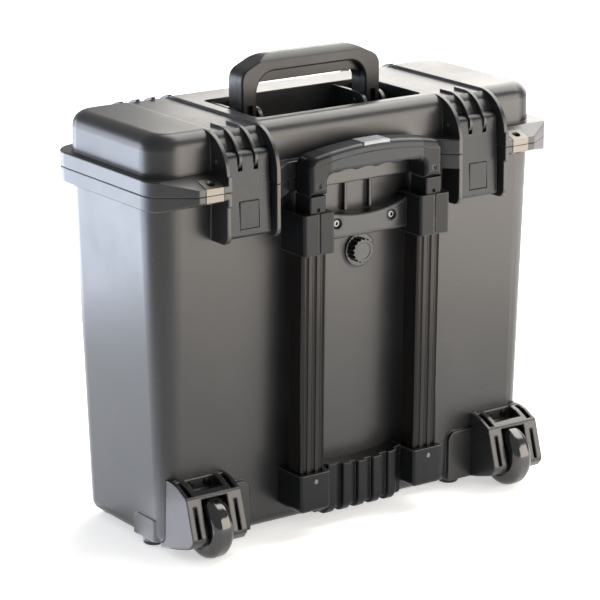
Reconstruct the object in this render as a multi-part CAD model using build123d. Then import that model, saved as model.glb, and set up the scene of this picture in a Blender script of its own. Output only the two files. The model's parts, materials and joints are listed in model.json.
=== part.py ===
from build123d import *
import os
from math import cos, radians, sin, sqrt, tan

# Wheeled top-loading hard case for a laptop: a deep moulded tub, a hinged lid with two press-and-pull
# latches and a fold-down carry handle, and a two-stage trolley handle between two wheels on the front wall.
# Millimetres.  X runs along the case, -Y is the front wall with the latches, +Z is up, the floor is Z = 0.
# The origin is the middle of the whole outline, on the floor.

# --- shells -----------------------------------------------------------------------------------------------
wall_w = 451.2          # outside width of the tub at the parting plane
wall_d = 170.8          # outside depth of the tub at the parting plane
corner_r = 28.6         # plan radius of the corners at the parting plane
draft = 1.88            # degrees that the tub's walls lean in towards the bottom
wall_t = 4.2            # wall thickness of both shells
parting_z = 357.3       # height of the parting plane
parting_gap = 0.6       # open line between the two flanges
tub_low = 6.0           # underside of the tub
tub_edge_r = 12.0       # round along the bottom edge of the tub
lid_top = parting_z + 53.0
lid_draft = 1.2         # degrees that the lid's walls lean in towards the top
lid_edge_r = 15.0       # round along the top edge of the lid
lid_top_t = 6.2         # thickness of the lid's top
fit_gap = 0.3           # gap between pieces that are dropped into place

# --- flange round the parting plane -----------------------------------------------------------------------
flange_out = 8.9        # how far the flange stands out of the wall
flange_h = 14.2         # height of each half of the flange
flange_edge_r = 1.2
flange_corner_r = 30.0
flange_front_r = 28.0   # round where the side of the flange turns to the padlock tab
shoulder_out = 3.2      # where the side of the flange, drawn on, meets the slanted shoulder

# --- latches ----------------------------------------------------------------------------------------------
latch_x = wall_w / 2 - 91.0     # centre of a latch
bay_w = 51.2            # width between the ribs that guard a latch
rib_t = 4.0             # guard ribs
rib_out = 27.0          # front of the guard ribs, out of the wall
rib_arc_r = 41.5        # round of the ribs over the lid's edge
rib_low = parting_z - 51.3      # lower end of the guard ribs on the tub
rib_toe_r = 9.0
fin_t = 3.4             # fins that carry the latch pin between the guard ribs
fin_pitch = 17.5
fin_back = 30.5         # rear end of the fins on the lid's top, in from the wall
fin_arc_r = 35.5
channel_depth = 2.6     # shallow channel in the lid's top, from the latch to the hinge
pin_r = 2.0             # latch and hinge pins
pin_run = 0.06          # running clearance on a pin, per side
latch_pin_z = parting_z + 25.7
latch_pin_out = 8.4
latch_eye_r = 8.1       # round of the latch about its pin
latch_play = 0.5
latch_w = 46.3
latch_low = parting_z - 48.1
latch_low_out = 19.6    # front of the latch at its lower end
latch_t = 3.0
latch_side_t = 3.0
latch_side_out = 9.4    # rear edge of the latch's side walls, out of the wall
slot_low = latch_pin_z - 10.4   # lower end of the slots that the fins pass through
slot_w = 5.0
nose_r = 10.2           # round of the fins about the latch pin
button_w = 21.4
button_h = 26.4
button_z = parting_z - 26.8
button_gap = 0.35
button_travel = 2.2
button_lip = 1.6        # hidden rim that keeps the button in the latch
strap_out = 10.2        # front of the strap that closes the latch behind its button
strap_t = 0.8
spring_t = 0.4

# --- padlock tabs -----------------------------------------------------------------------------------------
tab_end_x = latch_x + 61.4      # outer end of the padlock tab
tab_out = 29.4          # front of the padlock tab, out of the wall
tab_h = 6.1             # height of each half of the tab at its front
tab_start_out = 7.0     # where the slope from the flange down to the tab's front begins
cheek_start_x = latch_x - 51.6  # where the flange starts to widen towards the inner rib of the latch bay
hole_x = latch_x + 44.5         # padlock hole
hole_out = tab_out - 7.6
hole_r = 4.2
plate_t = 1.6           # stainless plate folded round each tab
plate_w = 19.1
plate_back = 15.2       # length of the plate back from the tab's front
plate_step = 0.3        # how far the plate stands proud of the moulding

# --- hinges -----------------------------------------------------------------------------------------------
knuckle_r = 6.2
knuckle_gap = 0.6       # gap between a knuckle and the flange
knuckle_side = 0.45     # gap between neighbouring knuckles

# --- carry handle -----------------------------------------------------------------------------------------
handle_w = 162.8
handle_leg = 17.2
handle_pin_z = lid_top - 13.0
handle_rise = 59.7      # top of the handle above its pin
handle_corner = (31.2, 14.5)    # chamfer across the handle's upper corners
handle_corner_r = 14.0
handle_crown = 6.0      # how much lower the bar's top is at its front and rear
handle_pin_in = wall_d / 2 + 0.1        # in from the front wall
handle_pin_r = 2.5
handle_front = 13.2     # front face of the handle, ahead of its pin
handle_back = 11.7      # rear face, behind its pin
handle_split = 4.2      # joint between the two shells of the handle, ahead of its pin
handle_end_r = 12.0     # round of the legs about the pin
core_inner_r = 10.0     # rounds under the bar, in the rear shell and in the front one
cover_inner_r = 20.0
ear_t = 4.0
ear_gap = 0.7
ear_top = lid_top - 3.3
ear_front = handle_pin_in - 18.0        # front of the ears, in from the front wall
ear_r = 13.0
well_w = handle_w + 30.6        # well in the lid that the handle folds into
well_front = handle_pin_in - handle_rise - 3.7  # its front and rear sides, in from the front wall
well_back = handle_pin_in + 35.7
well_low = lid_top - 30.3
well_r = 7.0
well_wall = 4.0

# --- trolley ----------------------------------------------------------------------------------------------
rail_x = latch_x - 66.8         # centre of each rail
rail_w = 28.4
rail_d = 23.4
rail_r = 3.5
rail_lean = 1.25        # degrees that the rails lean forwards at the top
rail_foot_z = 31.0
rail_foot_out = 11.7    # centre of the rail at its foot, out of the wall
flute_r = 2.6           # flutes in the front of the rail
flute_pitch = 9.2
flute_deep = 2.0
tube_gap = 0.4          # clearance round each sliding tube
mid_w = 18.4            # middle tube
mid_d = 16.4
mid_t = 1.6
tube_t = 1.3            # wall of the inner tube
tube_lift = 4.0         # inner tube's foot above the rail's foot
neck_w = 18.6           # neck on top of the middle tube
neck_front = 16.6       # its front and back from the tube's centre line
neck_back = 9.2
neck_pocket_gap = 0.5
collar_w = 35.6
collar_low = parting_z - 72.0
collar_top = parting_z - 32.4
collar_out = 37.6
collar_r = 3.5
collar_groove_w = 2.0
bracket_low = 25.5
bracket_top = 64.6
bracket_out = 29.3
cross_out = 15.5
cross_low = collar_low + 5.3
cross_end_z = collar_top - 4.2  # top edge of the cross plate at its ends and at its middle
cross_mid_z = collar_top - 12.9
cross_t = 6.0
cross_screw_x = rail_x - 35.5
cross_screw_z = collar_top - 19.1
screw_head_r = 3.7
screw_r = 2.0
cap_w = 20.2            # end caps of the grip
cap_low = parting_z - 15.0
grip_half = rail_x + 9.4
grip_out = 36.4
grip_back = 9.5         # rear of the grip, out of the wall
grip_split_x = rail_x - 13.6
grip_top_mid = cap_low + 43.3
grip_top_end = cap_low + 34.7
grip_low = cap_low + 18.7
grip_round = 5.0
grip_corner_r = 11.0
grip_seam = (8.0, 0.6)  # seam along the front of the grip: below its top, and its width
scallop_pitch = 22.5
scallop_r = 22.0
scallop_deep = 2.6
release_w = 30.0
release_d = 20.4
release_out = 24.9      # middle of the release button, out of the wall
release_travel = 4.0
release_proud = 1.0
rod_r = 2.2             # release rods inside the inner tubes
rod_lift = 12.0         # their foot above the rail's foot
slider_h = 6.0
slider_d = 7.0
slider_end = 5.0        # how far the slider runs past the tubes' centres
slider_rise = 34.0      # top of the slider above the caps' lower ends
slider_play = 0.5

# --- wheels -----------------------------------------------------------------------------------------------
wheel_x = wall_w / 2 - 45.1
wheel_r = 31.7
wheel_w = 24.0
axle_out = 12.5
axle_r = 4.0
bearing_r = 11.0
bearing_w = 7.0
hub_r = 21.0
housing_w = 61.0
housing_top = 2 * wheel_r + 12.0
arch_gap = 1.2          # between the tyre and its housing
arch_side = 2.6
housing_rear = -25.5    # rear of the housing, out of the wall
axle_bed = 4.0          # depth of wall left outside the axle's ends
axle_boss_r = 6.5
pocket_half = 16.5      # pocket in the top of the housing
pocket_back = -5.0      # its rear wall, out of the wall
top_slot_in = 6.3       # slots in the housing's top, in from its sides
top_slot_w = 5.5
face_slot_in = 8.0      # slots in the housing's front face
face_slot_w = 4.0
housing_screw_x = 9.0   # screws that hold a housing, each side of its middle
housing_screw_z = housing_top - 6.0
screw_seat = 2.0        # thickness of the housing screws' heads

# --- wall furniture ---------------------------------------------------------------------------------------
valve_x = 5.0
valve_z = cross_low - 19.1
valve_r = 16.6
valve_hole_r = 9.2
valve_cap_r = 12.2
valve_cap_h = 6.5
valve_lobes = 16
valve_seal_t = 0.8
valve_flange_t = 1.6
valve_boss_out = -2.0   # front of the pad that the valve is clamped to
wall_rib_low = cross_mid_z + 2.0        # lower end of the two short ribs under the flange
wall_rib_out = 4.5
kick_half = rail_x - collar_w / 2 - fit_gap
kick_low = 13.0
kick_top = 66.0
kick_dip = 5.5          # how far the kick plate's top edge dips at its middle
kick_out = 7.5
kick_rib_out = 12.5
kick_rib_w = 10.0
kick_rib_r = 1.6
kick_pitch = 18.2
foot_r = 10.5
front_foot = (wheel_x - 43.5, 27.5)     # X, and depth in from the front wall
side_foot = (wall_w / 2 - 22.1, 50.0)
rear_foot = (wall_w / 2 - 35.6, wall_d - 23.3)
pad_low = 9.0           # underside of the raised pads round the feet
front_pad_x = wheel_x - 59.5    # inner end of the pad beside each housing
front_pad_top = 60.0
side_pad_top = 31.0
side_pad_x = wall_w / 2 - 9.2   # outer face of the pad behind each housing
side_pad_ends = (housing_rear - fit_gap, -65.5)  # its front and rear ends, out of the wall
side_pad_r = 4.8

# --- soft lining ------------------------------------------------------------------------------------------
liner_t = 10.0
liner_floor = 14.0
liner_top = parting_z - 13.3
lid_pad_t = 14.5

# --- worked out from the above ----------------------------------------------------------------------------
axle_reach = axle_out + wheel_r                                  # wheel's front, out of the front wall
hinge_reach = flange_out + knuckle_gap + 2 * knuckle_r           # hinge's rear, out of the rear wall
mid_y = (axle_reach - hinge_reach) / 2                           # middle of the tub
front_y = mid_y - wall_d / 2
rear_y = mid_y + wall_d / 2
rim_z = parting_z - parting_gap / 2                              # top of the tub
lid_z = parting_z + parting_gap / 2                              # underside of the lid
hinge_y = rear_y + flange_out + knuckle_gap + knuckle_r
latch_pin_y = front_y - latch_pin_out
handle_pin_y = front_y + handle_pin_in
handle_top = handle_pin_z + handle_rise
cover_low = handle_top - 16.0                                    # underside of the front shell's bar
core_low = handle_top - 27.0                                     # underside of the rear shell's bar
bay_in = latch_x - bay_w / 2
bay_out = latch_x + bay_w / 2
tab_slope = (flange_h - tab_h) / (tab_out - tab_start_out)
axle_y = front_y - axle_out
rail_len = collar_low + 11.7 - rail_foot_z
mid_len = rail_len + 20.0
neck_low = rail_len + 5.0                                        # above the rail's foot
neck_top = cap_low - rail_foot_z - 0.6
mid_bore_w = mid_w - 2 * mid_t
mid_bore_d = mid_d - 2 * mid_t
slider_half = rail_x + slider_end
slider_top = cap_low + slider_rise
slider_y = front_y - rail_foot_out - (slider_top - slider_h - rail_foot_z) * sin(radians(rail_lean))
tube_w = mid_bore_w - 2 * tube_gap
tube_d = mid_bore_d - 2 * tube_gap
rail_frame = Pos(0, front_y - rail_foot_out, rail_foot_z) * Rot(X=rail_lean)
rail_way = (0, -sin(radians(rail_lean)), cos(radians(rail_lean)))


def block(x0, x1, y0, y1, z0, z1):
    """Box between two corners."""
    return Pos((x0 + x1) / 2, (y0 + y1) / 2, (z0 + z1) / 2) * Box(x1 - x0, y1 - y0, z1 - z0)


def rod_x(x0, x1, y, z, radius):
    """Round bar along X."""
    return Pos((x0 + x1) / 2, y, z) * Rot(Y=90) * Cylinder(radius, x1 - x0)


def rod_y(x, y0, y1, z, radius):
    """Round bar along Y."""
    return Pos(x, (y0 + y1) / 2, z) * Rot(X=90) * Cylinder(radius, y1 - y0)


def outline(points, rounds=()):
    """Closed outline through the points; rounds lists (corner, radius) for the corners that are rounded."""
    face = make_face(Polyline(*points, close=True))
    for corner, radius in rounds:
        nearest = face.vertices().sort_by_distance(Vector(*corner))[0]
        face = fillet(nearest, radius)
    return face


def side_plate(profile, x0, x1):
    """Profile drawn as (Y, Z), made solid from x0 to x1."""
    return extrude(Plane.YZ.offset(x0) * profile, x1 - x0)


def front_plate(profile, y0, y1):
    """Profile drawn as (X, Z), made solid from y1 (front) to y0 (rear)."""
    return extrude(Plane.XZ.offset(-y0) * profile, y0 - y1)


def both(right):
    """A right-hand solid and its mirror image."""
    return right + mirror(right, Plane.YZ)


def out(distance):
    """Y of a place that far out of the front wall at the parting plane."""
    return front_y - distance


def tub_form(inset=0.0, low=tub_low, edge=tub_edge_r):
    """Solid with the tub's outside shape, or that shape inset by a wall."""
    plan = RectangleRounded(wall_w - 2 * inset, wall_d - 2 * inset, corner_r - inset)
    downwards = Plane(origin=(0, mid_y, rim_z), x_dir=(1, 0, 0), z_dir=(0, 0, -1))
    form = extrude(downwards * plan, rim_z - low, taper=draft)
    return fillet(form.faces().sort_by(Axis.Z)[0].edges(), edge)


def lid_form(inset=0.0, top=lid_top, edge=lid_edge_r):
    """Solid with the lid's outside shape, or that shape inset by a wall."""
    plan = RectangleRounded(wall_w - 2 * inset, wall_d - 2 * inset, corner_r - inset)
    form = extrude(Pos(0, mid_y, lid_z) * plan, top - lid_z, taper=lid_draft)
    return fillet(form.faces().sort_by(Axis.Z)[-1].edges(), edge)


def flange_plan():
    """Outline of the flange with its padlock tabs and latch bays, seen from above."""
    side = wall_w / 2 + flange_out
    back = rear_y + flange_out
    line = out(flange_out)
    half = [(cheek_start_x, line), (bay_in - rib_t, out(rib_out)), (bay_in, out(rib_out)), (bay_in, line),
            (bay_out, line), (bay_out, out(tab_out)), (tab_end_x, out(tab_out)), (side, out(shoulder_out)),
            (side, back)]
    points = half + [(-x, y) for x, y in reversed(half)]
    rounds = [((s * side, back), flange_corner_r) for s in (1, -1)]
    rounds += [((s * side, out(shoulder_out)), flange_front_r) for s in (1, -1)]
    rounds += [((s * tab_end_x, out(tab_out)), 3) for s in (1, -1)]
    return outline(points, rounds)


def flange(z0, z1, free_face):
    """Half of the flange, with its free edge rounded."""
    ring = extrude(Pos(0, 0, z0) * flange_plan(), z1 - z0)
    return fillet(ring.faces().sort_by(Axis.Z)[free_face].edges(), flange_edge_r)


def tab_ramp(sign):
    """Cutter that slopes the flange down to the padlock tab: sign 1 on the lid, -1 on the tub."""
    lip = parting_z + sign * parting_gap / 2
    beyond = parting_z + sign * (flange_h + 3)
    points = [(out(tab_start_out), lip + sign * flange_h),
              (out(tab_out + 5), lip + sign * (tab_h - 5 * tab_slope)),
              (out(tab_out + 5), beyond), (out(tab_start_out), beyond)]
    return both(side_plate(outline(points), bay_out + rib_t, wall_w / 2 + flange_out + 1))


def tab_skin(sign, outer, inner, low, back):
    """Outline (Y, Z) of a layer over a tab's front and slope, between two distances from its skin."""
    lip = parting_z + sign * parting_gap / 2
    rise = sqrt(1 + tab_slope ** 2)
    heights = [(tab_out + outer, low), (tab_out + outer, tab_h + outer * (rise - tab_slope)),
               (tab_out - back, tab_h + back * tab_slope + outer * rise),
               (tab_out - back, tab_h + back * tab_slope + inner * rise),
               (tab_out + inner, tab_h + inner * (rise - tab_slope)), (tab_out + inner, low)]
    return outline([(out(reach), lip + sign * height) for reach, height in heights])


def hasp_seat(sign):
    """Shallow seat in a padlock tab for its steel plate."""
    half = plate_w / 2 + fit_gap
    return side_plate(tab_skin(sign, 3, plate_step - plate_t, -0.2, plate_back), hole_x - half, hole_x + half)


def hasp_plate(sign):
    """Stainless plate folded over the front of a padlock tab, drilled for the padlock."""
    face = tab_skin(sign, plate_step, plate_step - plate_t, 0, plate_back - fit_gap)
    plate = side_plate(face, hole_x - plate_w / 2, hole_x + plate_w / 2)
    return plate - Pos(hole_x, out(hole_out), parting_z) * Cylinder(hole_r, 6 * tab_h)


def guard_rib_face(low, high):
    """Outline (Y, Z) of a rib that guards the latch, between two heights."""
    top_arc = Pos(out(rib_out) + rib_arc_r, lid_top - rib_arc_r) * Circle(rib_arc_r)
    body = Pos(out(rib_out) + rib_arc_r, (low + high) / 2) * Rectangle(2 * rib_arc_r, high - low)
    knee = lid_top - rib_arc_r
    straight = Pos(out(rib_out) + rib_arc_r, (low + knee) / 2) * Rectangle(2 * rib_arc_r, knee - low)
    return body & (top_arc + straight)


def guard_ribs_on_lid():
    """Ribs each side of the latches, over the lid's edge, made solid back into the wall."""
    face = guard_rib_face(lid_z, lid_top)
    pair = side_plate(face, bay_in - rib_t, bay_in) + side_plate(face, bay_out, bay_out + rib_t)
    keep = block(0, wall_w / 2, out(rib_out + 1), out(-corner_r), lid_z, lid_top)
    return both(pair & keep)


def guard_ribs_on_tub():
    """The same ribs carried on down the tub to a rounded toe."""
    inside = out(-2 * wall_t)
    points = [(inside, rim_z), (out(rib_out), rim_z), (out(rib_out), rib_low), (inside, rib_low)]
    face = outline(points, [((out(rib_out), rib_low), rib_toe_r)])
    return both(side_plate(face, bay_in - rib_t, bay_in) + side_plate(face, bay_out, bay_out + rib_t))


def fin_xs():
    """Centres of the two fins of the right-hand latch."""
    return (latch_x - fin_pitch / 2, latch_x + fin_pitch / 2)


def latch_fins():
    """Fins that carry the latch pin, curving over the lid's edge to a round nose."""
    centre = out(nose_r + latch_pin_out) + fin_arc_r
    arc = Pos(centre, lid_top - fin_arc_r) * Circle(fin_arc_r)
    back = Pos((centre + out(-fin_back)) / 2, lid_top - fin_arc_r / 2)
    tail = back * Rectangle(out(-fin_back) - centre, fin_arc_r)
    cut_back = Pos(out(-fin_back) + fin_arc_r, lid_top - fin_arc_r) * Rectangle(2 * fin_arc_r, 4 * fin_arc_r)
    cut_low = Pos(centre, latch_pin_z - fin_arc_r) * Rectangle(4 * fin_arc_r, 2 * fin_arc_r)
    nose = Pos(latch_pin_y, latch_pin_z) * Circle(nose_r)
    face = (arc + tail - cut_low - cut_back) + nose
    fins = [side_plate(face, x - fin_t / 2, x + fin_t / 2) for x in fin_xs()]
    return both(fins[0] + fins[1])


def latch_bay_block():
    """Thick part of the lid behind each latch, hollowed for the latch's eye."""
    arc_r = 29.0
    top = lid_top - channel_depth
    front = out(flange_out)
    arc = Pos(front + arc_r, top - arc_r) * Circle(arc_r)
    keep = Pos((front + out(-6)) / 2, (lid_z + flange_h + top) / 2)
    lower = Pos((front + out(-6)) / 2, (lid_z + top - arc_r) / 2)
    window = keep * Rectangle(out(-6) - front, top - lid_z - flange_h)
    face = window & (arc + lower * Rectangle(out(-6) - front, top - arc_r - lid_z))
    eye = Pos(latch_pin_y, latch_pin_z) * Circle(latch_eye_r + latch_play)
    return both(side_plate(face - eye, bay_in, bay_out))


def hinge_fins():
    """Fins at the rear of the lid that end in the hinge's outer knuckles."""
    back = hinge_y + knuckle_r
    arc_r = 34.0
    arc = Pos(back - arc_r, lid_top - arc_r) * Circle(arc_r)
    knee = Pos(back - arc_r, (lid_top - arc_r + parting_z) / 2)
    upright = knee * Rectangle(2 * arc_r, lid_top - arc_r - parting_z)
    keep = Pos(back - fin_back / 2, (lid_top + parting_z) / 2) * Rectangle(fin_back, lid_top - parting_z)
    face = ((arc + upright) & keep) - flange_shadow()
    face = face + Pos(hinge_y, parting_z) * Circle(knuckle_r)
    xs = (bay_in - rib_t / 2, *fin_xs(), bay_out + rib_t / 2)
    solids = [side_plate(face, x - rib_t / 2, x + rib_t / 2) for x in xs]
    return both(solids[0] + solids[1] + solids[2] + solids[3])


def flange_shadow():
    """Room (Y, Z) over the tub's rim that the hinge fins leave open."""
    reach = 60.0
    return Pos(rear_y + flange_out - reach / 2, parting_z) * Rectangle(reach, parting_gap)


def hinge_barrels():
    """Knuckles on the tub, between the lid's knuckles, with the webs that join them to the flange."""
    web = outline([(rear_y, rim_z - flange_h), (rear_y + flange_out + 1, rim_z - flange_h),
                   (hinge_y + knuckle_r * 0.8, parting_z - knuckle_r * 0.6), (hinge_y, parting_z),
                   (hinge_y - knuckle_r, rim_z), (rear_y, rim_z)])
    face = web + Pos(hinge_y, parting_z) * Circle(knuckle_r)
    solids = [side_plate(face, x0, x1) for x0, x1 in barrel_spans()]
    return both(solids[0] + solids[1] + solids[2])


def barrel_spans():
    """Start and end of each tub knuckle of the right-hand hinge."""
    gap = rib_t / 2 + knuckle_side
    xs = (bay_in - rib_t / 2, *fin_xs(), bay_out + rib_t / 2)
    return [(a + gap, b - gap) for a, b in zip(xs, xs[1:])]


def lid_shell():
    """Lid: domed shell with flange, latch fins, hinge fins and the well with the handle's ears."""
    shell = lid_form() + flange(lid_z, lid_z + flange_h, -1) - tab_ramp(1) - both(hasp_seat(1))
    channel = block(bay_in, bay_out, out(tab_out), rear_y + 1, lid_top - channel_depth, lid_top + 1)
    shell = shell - both(channel)
    shell = shell + guard_ribs_on_lid() + latch_bay_block() + latch_fins() + hinge_fins()
    hollow = lid_form(wall_t, lid_top - lid_top_t, lid_edge_r - wall_t)
    well_skin = well_form(well_wall)
    shell = shell - (hollow - well_skin) - well_form(0.0) + ears()
    shell = shell - gasket_ring(fit_gap)
    for x, y, z, radius in ((latch_x, latch_pin_y, latch_pin_z, pin_r), (latch_x, hinge_y, parting_z, pin_r)):
        shell = shell - both(rod_x(x - bay_w / 2 - rib_t - 1, x + bay_w / 2 + rib_t + 1, y, z, radius))
    shell = shell - both(rod_x(handle_w / 2 - handle_leg - 9, handle_w / 2 + 9, handle_pin_y, handle_pin_z,
                               handle_pin_r))
    return shell - both(Pos(hole_x, out(hole_out), lid_z) * Cylinder(hole_r, 6 * tab_h))


def well_form(skin):
    """The handle's well, grown by a skin."""
    w = well_w + 2 * skin
    y0, y1 = out(-well_front) - skin, out(-well_back) + skin
    plan = Pos(0, (y0 + y1) / 2, well_low - skin) * RectangleRounded(w, y1 - y0, well_r + skin)
    return extrude(plan, lid_top + 1 - well_low + skin)


def ear_xs():
    """Inner face of each ear of the right-hand leg."""
    leg_in = handle_w / 2 - handle_leg
    return (leg_in - ear_gap - ear_t, handle_w / 2 + ear_gap)


def ears():
    """Two ears for each leg of the carry handle, standing from the well's rear side."""
    back = out(-well_back) + 0.5
    front = out(-ear_front)
    face = outline([(front, well_low - 0.5), (front, ear_top), (back, ear_top), (back, well_low - 0.5)],
                   [((front, ear_top), ear_r)])
    inner, outer = [side_plate(face, x, x + ear_t) for x in ear_xs()]
    return both(inner + outer)


def gasket_ring(grow=0.0):
    """Seal in the lid's rim, or its groove when grown."""
    mid = 2.0            # its middle, out of the wall
    half = 2.3
    z_low = parting_z
    outer = RectangleRounded(wall_w + 2 * (mid + half + grow), wall_d + 2 * (mid + half + grow),
                             corner_r + mid + half + grow)
    inner = RectangleRounded(wall_w + 2 * (mid - half - grow), wall_d + 2 * (mid - half - grow),
                             corner_r + mid - half - grow)
    return extrude(Pos(0, mid_y, z_low) * (outer - inner), 3.8 + grow)


def valve_boss():
    """Round pad with flat faces that the valve is clamped to, inside and out."""
    return rod_y(valve_x, out(valve_boss_out), out(-wall_t - 4.0), valve_z, valve_r + 1.4)


def feet_and_pads():
    """Moulded feet and the raised pads that they grow from, beside the wheel housings."""
    rise = tub_low + tub_edge_r
    solids = []
    for x, depth in (front_foot, side_foot, rear_foot):
        foot = Pos(x, out(-depth), rise / 2) * Cylinder(foot_r, rise)
        solids.append(fillet(foot.faces().sort_by(Axis.Z)[0].edges(), 2.5))
    pad_end = wheel_x - housing_w / 2 - fit_gap
    front_pad = outline([(front_pad_x, pad_low), (pad_end, pad_low), (pad_end, front_pad_top),
                         (front_pad_x, front_pad_top)], [((front_pad_x, front_pad_top), 9)])
    solids.append(front_plate(front_pad, out(-30), out(-5.5)))
    front, rear = side_pad_ends
    side_pad = outline([(out(front), pad_low), (out(rear), pad_low), (out(rear), side_pad_top),
                        (out(front), side_pad_top)], [((out(rear), side_pad_top), 7)])
    pad = side_plate(side_pad, side_foot[0] - 3.5, side_pad_x)
    nose = pad.edges().filter_by(Axis.Z).group_by(Axis.Y)[0].sort_by(Axis.X)[-1]
    solids.append(fillet(nose, side_pad_r))
    total = solids[0]
    for solid in solids[1:]:
        total = total + solid
    return both(total)


def wheel_well(skin):
    """Room for the tyres in the tub's front wall, grown by a skin."""
    half = wheel_w / 2 + arch_side + skin
    return both(rod_x(wheel_x - half, wheel_x + half, axle_y, wheel_r, wheel_r + arch_gap + skin))


def wall_ribs():
    """Two short ribs under the flange, between the trolley rails."""
    back, front = out(-wall_t), out(wall_rib_out)
    face = outline([(back, wall_rib_low), (front, wall_rib_low), (front, rim_z - 5), (back, rim_z - 5)])
    return both(side_plate(face, 13.0, 16.0))


def tub_shell():
    """Tub: deep tapered shell with flange, guard ribs, hinge knuckles, feet and pads."""
    shell = tub_form() + flange(rim_z - flange_h, rim_z, 0) - tab_ramp(-1) - both(hasp_seat(-1))
    shell = shell + guard_ribs_on_tub() + hinge_barrels() + wall_ribs() + feet_and_pads() + valve_boss()
    inside = tub_form(wall_t, tub_low + wall_t, tub_edge_r - wall_t)
    shell = shell - (inside - valve_boss() - wheel_well(wall_t)) - wheel_well(0.0)
    shell = shell - rod_y(valve_x, out(20), out(-20), valve_z, valve_hole_r)
    shell = shell - both(rod_x(bay_in - rib_t, bay_out + rib_t, hinge_y, parting_z, pin_r + pin_run))
    shell = shell - both(Pos(hole_x, out(hole_out), rim_z) * Cylinder(hole_r, 6 * tab_h))
    for x in (cross_screw_x, -cross_screw_x):
        shell = shell - rod_y(x, out(4), out(-20), cross_screw_z, screw_r)
    for x in (wheel_x - housing_screw_x, wheel_x + housing_screw_x):
        shell = shell - both(rod_y(x, out(4), out(-20), housing_screw_z, screw_r))
    return shell


def cross_bars(x0, x1, y, z, radius):
    """A pin on each side of the case."""
    return both(rod_x(x0, x1, y, z, radius))


def latch_plate():
    """Right-hand latch: round eye, front plate with slots and button window, side walls."""
    eye_front = out(latch_pin_out + latch_eye_r)
    low_front = out(latch_low_out)
    plate = outline([(eye_front, latch_pin_z), (low_front, latch_low + 3), (low_front + 2, latch_low),
                     (low_front + latch_t + 2, latch_low), (low_front + latch_t, latch_low + 4),
                     (out(plate_front_out(slot_low - 2) - latch_t), slot_low - 2),
                     (latch_pin_y, latch_pin_z)])
    eye = Pos(latch_pin_y, latch_pin_z) * Circle(latch_eye_r)
    x0, x1 = latch_x - latch_w / 2, latch_x + latch_w / 2
    body = side_plate(plate + eye, x0, x1)
    cheek = outline([(eye_front + 1, latch_pin_z), (low_front + 1, latch_low + 8),
                     (out(latch_side_out), latch_low + 12), (out(latch_side_out), slot_low - 4),
                     (latch_pin_y, latch_pin_z)])
    body = body + side_plate(cheek, x0, x0 + latch_side_t) + side_plate(cheek, x1 - latch_side_t, x1)
    body = chamfer(body.edges().filter_by(Axis.X).group_by(Axis.Z)[0], 0.6)
    for x in fin_xs():
        gap = block(x - slot_w / 2, x + slot_w / 2, out(40), out(-20), slot_low, latch_pin_z + 20)
        body = body - gap
    window = block(latch_x - button_w / 2 - button_gap, latch_x + button_w / 2 + button_gap, out(40), out(0),
                   button_z - button_h / 2 - button_gap, button_z + button_h / 2 + button_gap)
    return body - window - rod_x(x0 - 1, x1 + 1, latch_pin_y, latch_pin_z, pin_r + pin_run)


def plate_front_out(z):
    """How far the front of the latch stands out of the wall at a height."""
    span = (latch_pin_z - z) / (latch_pin_z - latch_low - 3)
    return latch_pin_out + latch_eye_r + span * (latch_low_out - latch_pin_out - latch_eye_r)


def latch_button():
    """Square press button with a hidden rim behind the latch's plate."""
    face_out = plate_front_out(button_z) + 0.4
    back_out = plate_front_out(button_z + button_h / 2) - latch_t - 0.1
    w, h = button_w / 2, button_h / 2
    head = block(latch_x - w, latch_x + w, out(face_out), out(back_out), button_z - h, button_z + h)
    head = fillet(head.faces().sort_by(Axis.Y)[0].edges(), 0.8)
    w, h = w + button_lip, h + button_lip
    rim = block(latch_x - w, latch_x + w, out(back_out), out(back_out - 1.0), button_z - h, button_z + h)
    return head + rim


def bow(half, rise, thick):
    """Thin strip (X, Y) bowed from one end to the other."""
    near = [ThreePointArc((-half, 0), (0, rise), (half, 0)), Line((half, 0), (half, thick))]
    far = [ThreePointArc((half, thick), (0, rise + thick), (-half, thick)), Line((-half, thick), (-half, 0))]
    return make_face(near + far)


def latch_spring():
    """Bowed leaf spring on the back of the button."""
    seat = plate_front_out(button_z + button_h / 2) - latch_t - 1.1
    rise = seat - strap_out - button_travel - 0.2 - spring_t
    return Pos(latch_x, out(seat), button_z) * extrude(bow(9.0, rise, spring_t), 4, both=True)


def latch_strap():
    """Strap across the back of the latch, behind the button."""
    half = latch_w / 2 - latch_side_t
    return block(latch_x - half, latch_x + half, out(strap_out), out(strap_out - strap_t),
                 button_z - button_h / 2, button_z + button_h / 2)


def handle_face(low_z, inner_r):
    """Outline (X, Z) of a shell of the carry handle, with the underside of its bar at low_z."""
    half, leg = handle_w / 2, handle_w / 2 - handle_leg
    cut_x, cut_z = handle_corner
    foot = handle_pin_z - handle_end_r
    points = [(half, foot), (half, handle_top - cut_z), (half - cut_x, handle_top),
              (cut_x - half, handle_top), (-half, handle_top - cut_z), (-half, foot),
              (-leg, foot), (-leg, low_z), (leg, low_z), (leg, foot)]
    rounds = []
    for s in (1, -1):
        rounds += [((s * leg, low_z), inner_r), ((s * half, handle_top - cut_z), handle_corner_r),
                   ((s * (half - cut_x), handle_top), 2 * handle_corner_r)]
    return outline(points, rounds)


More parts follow.
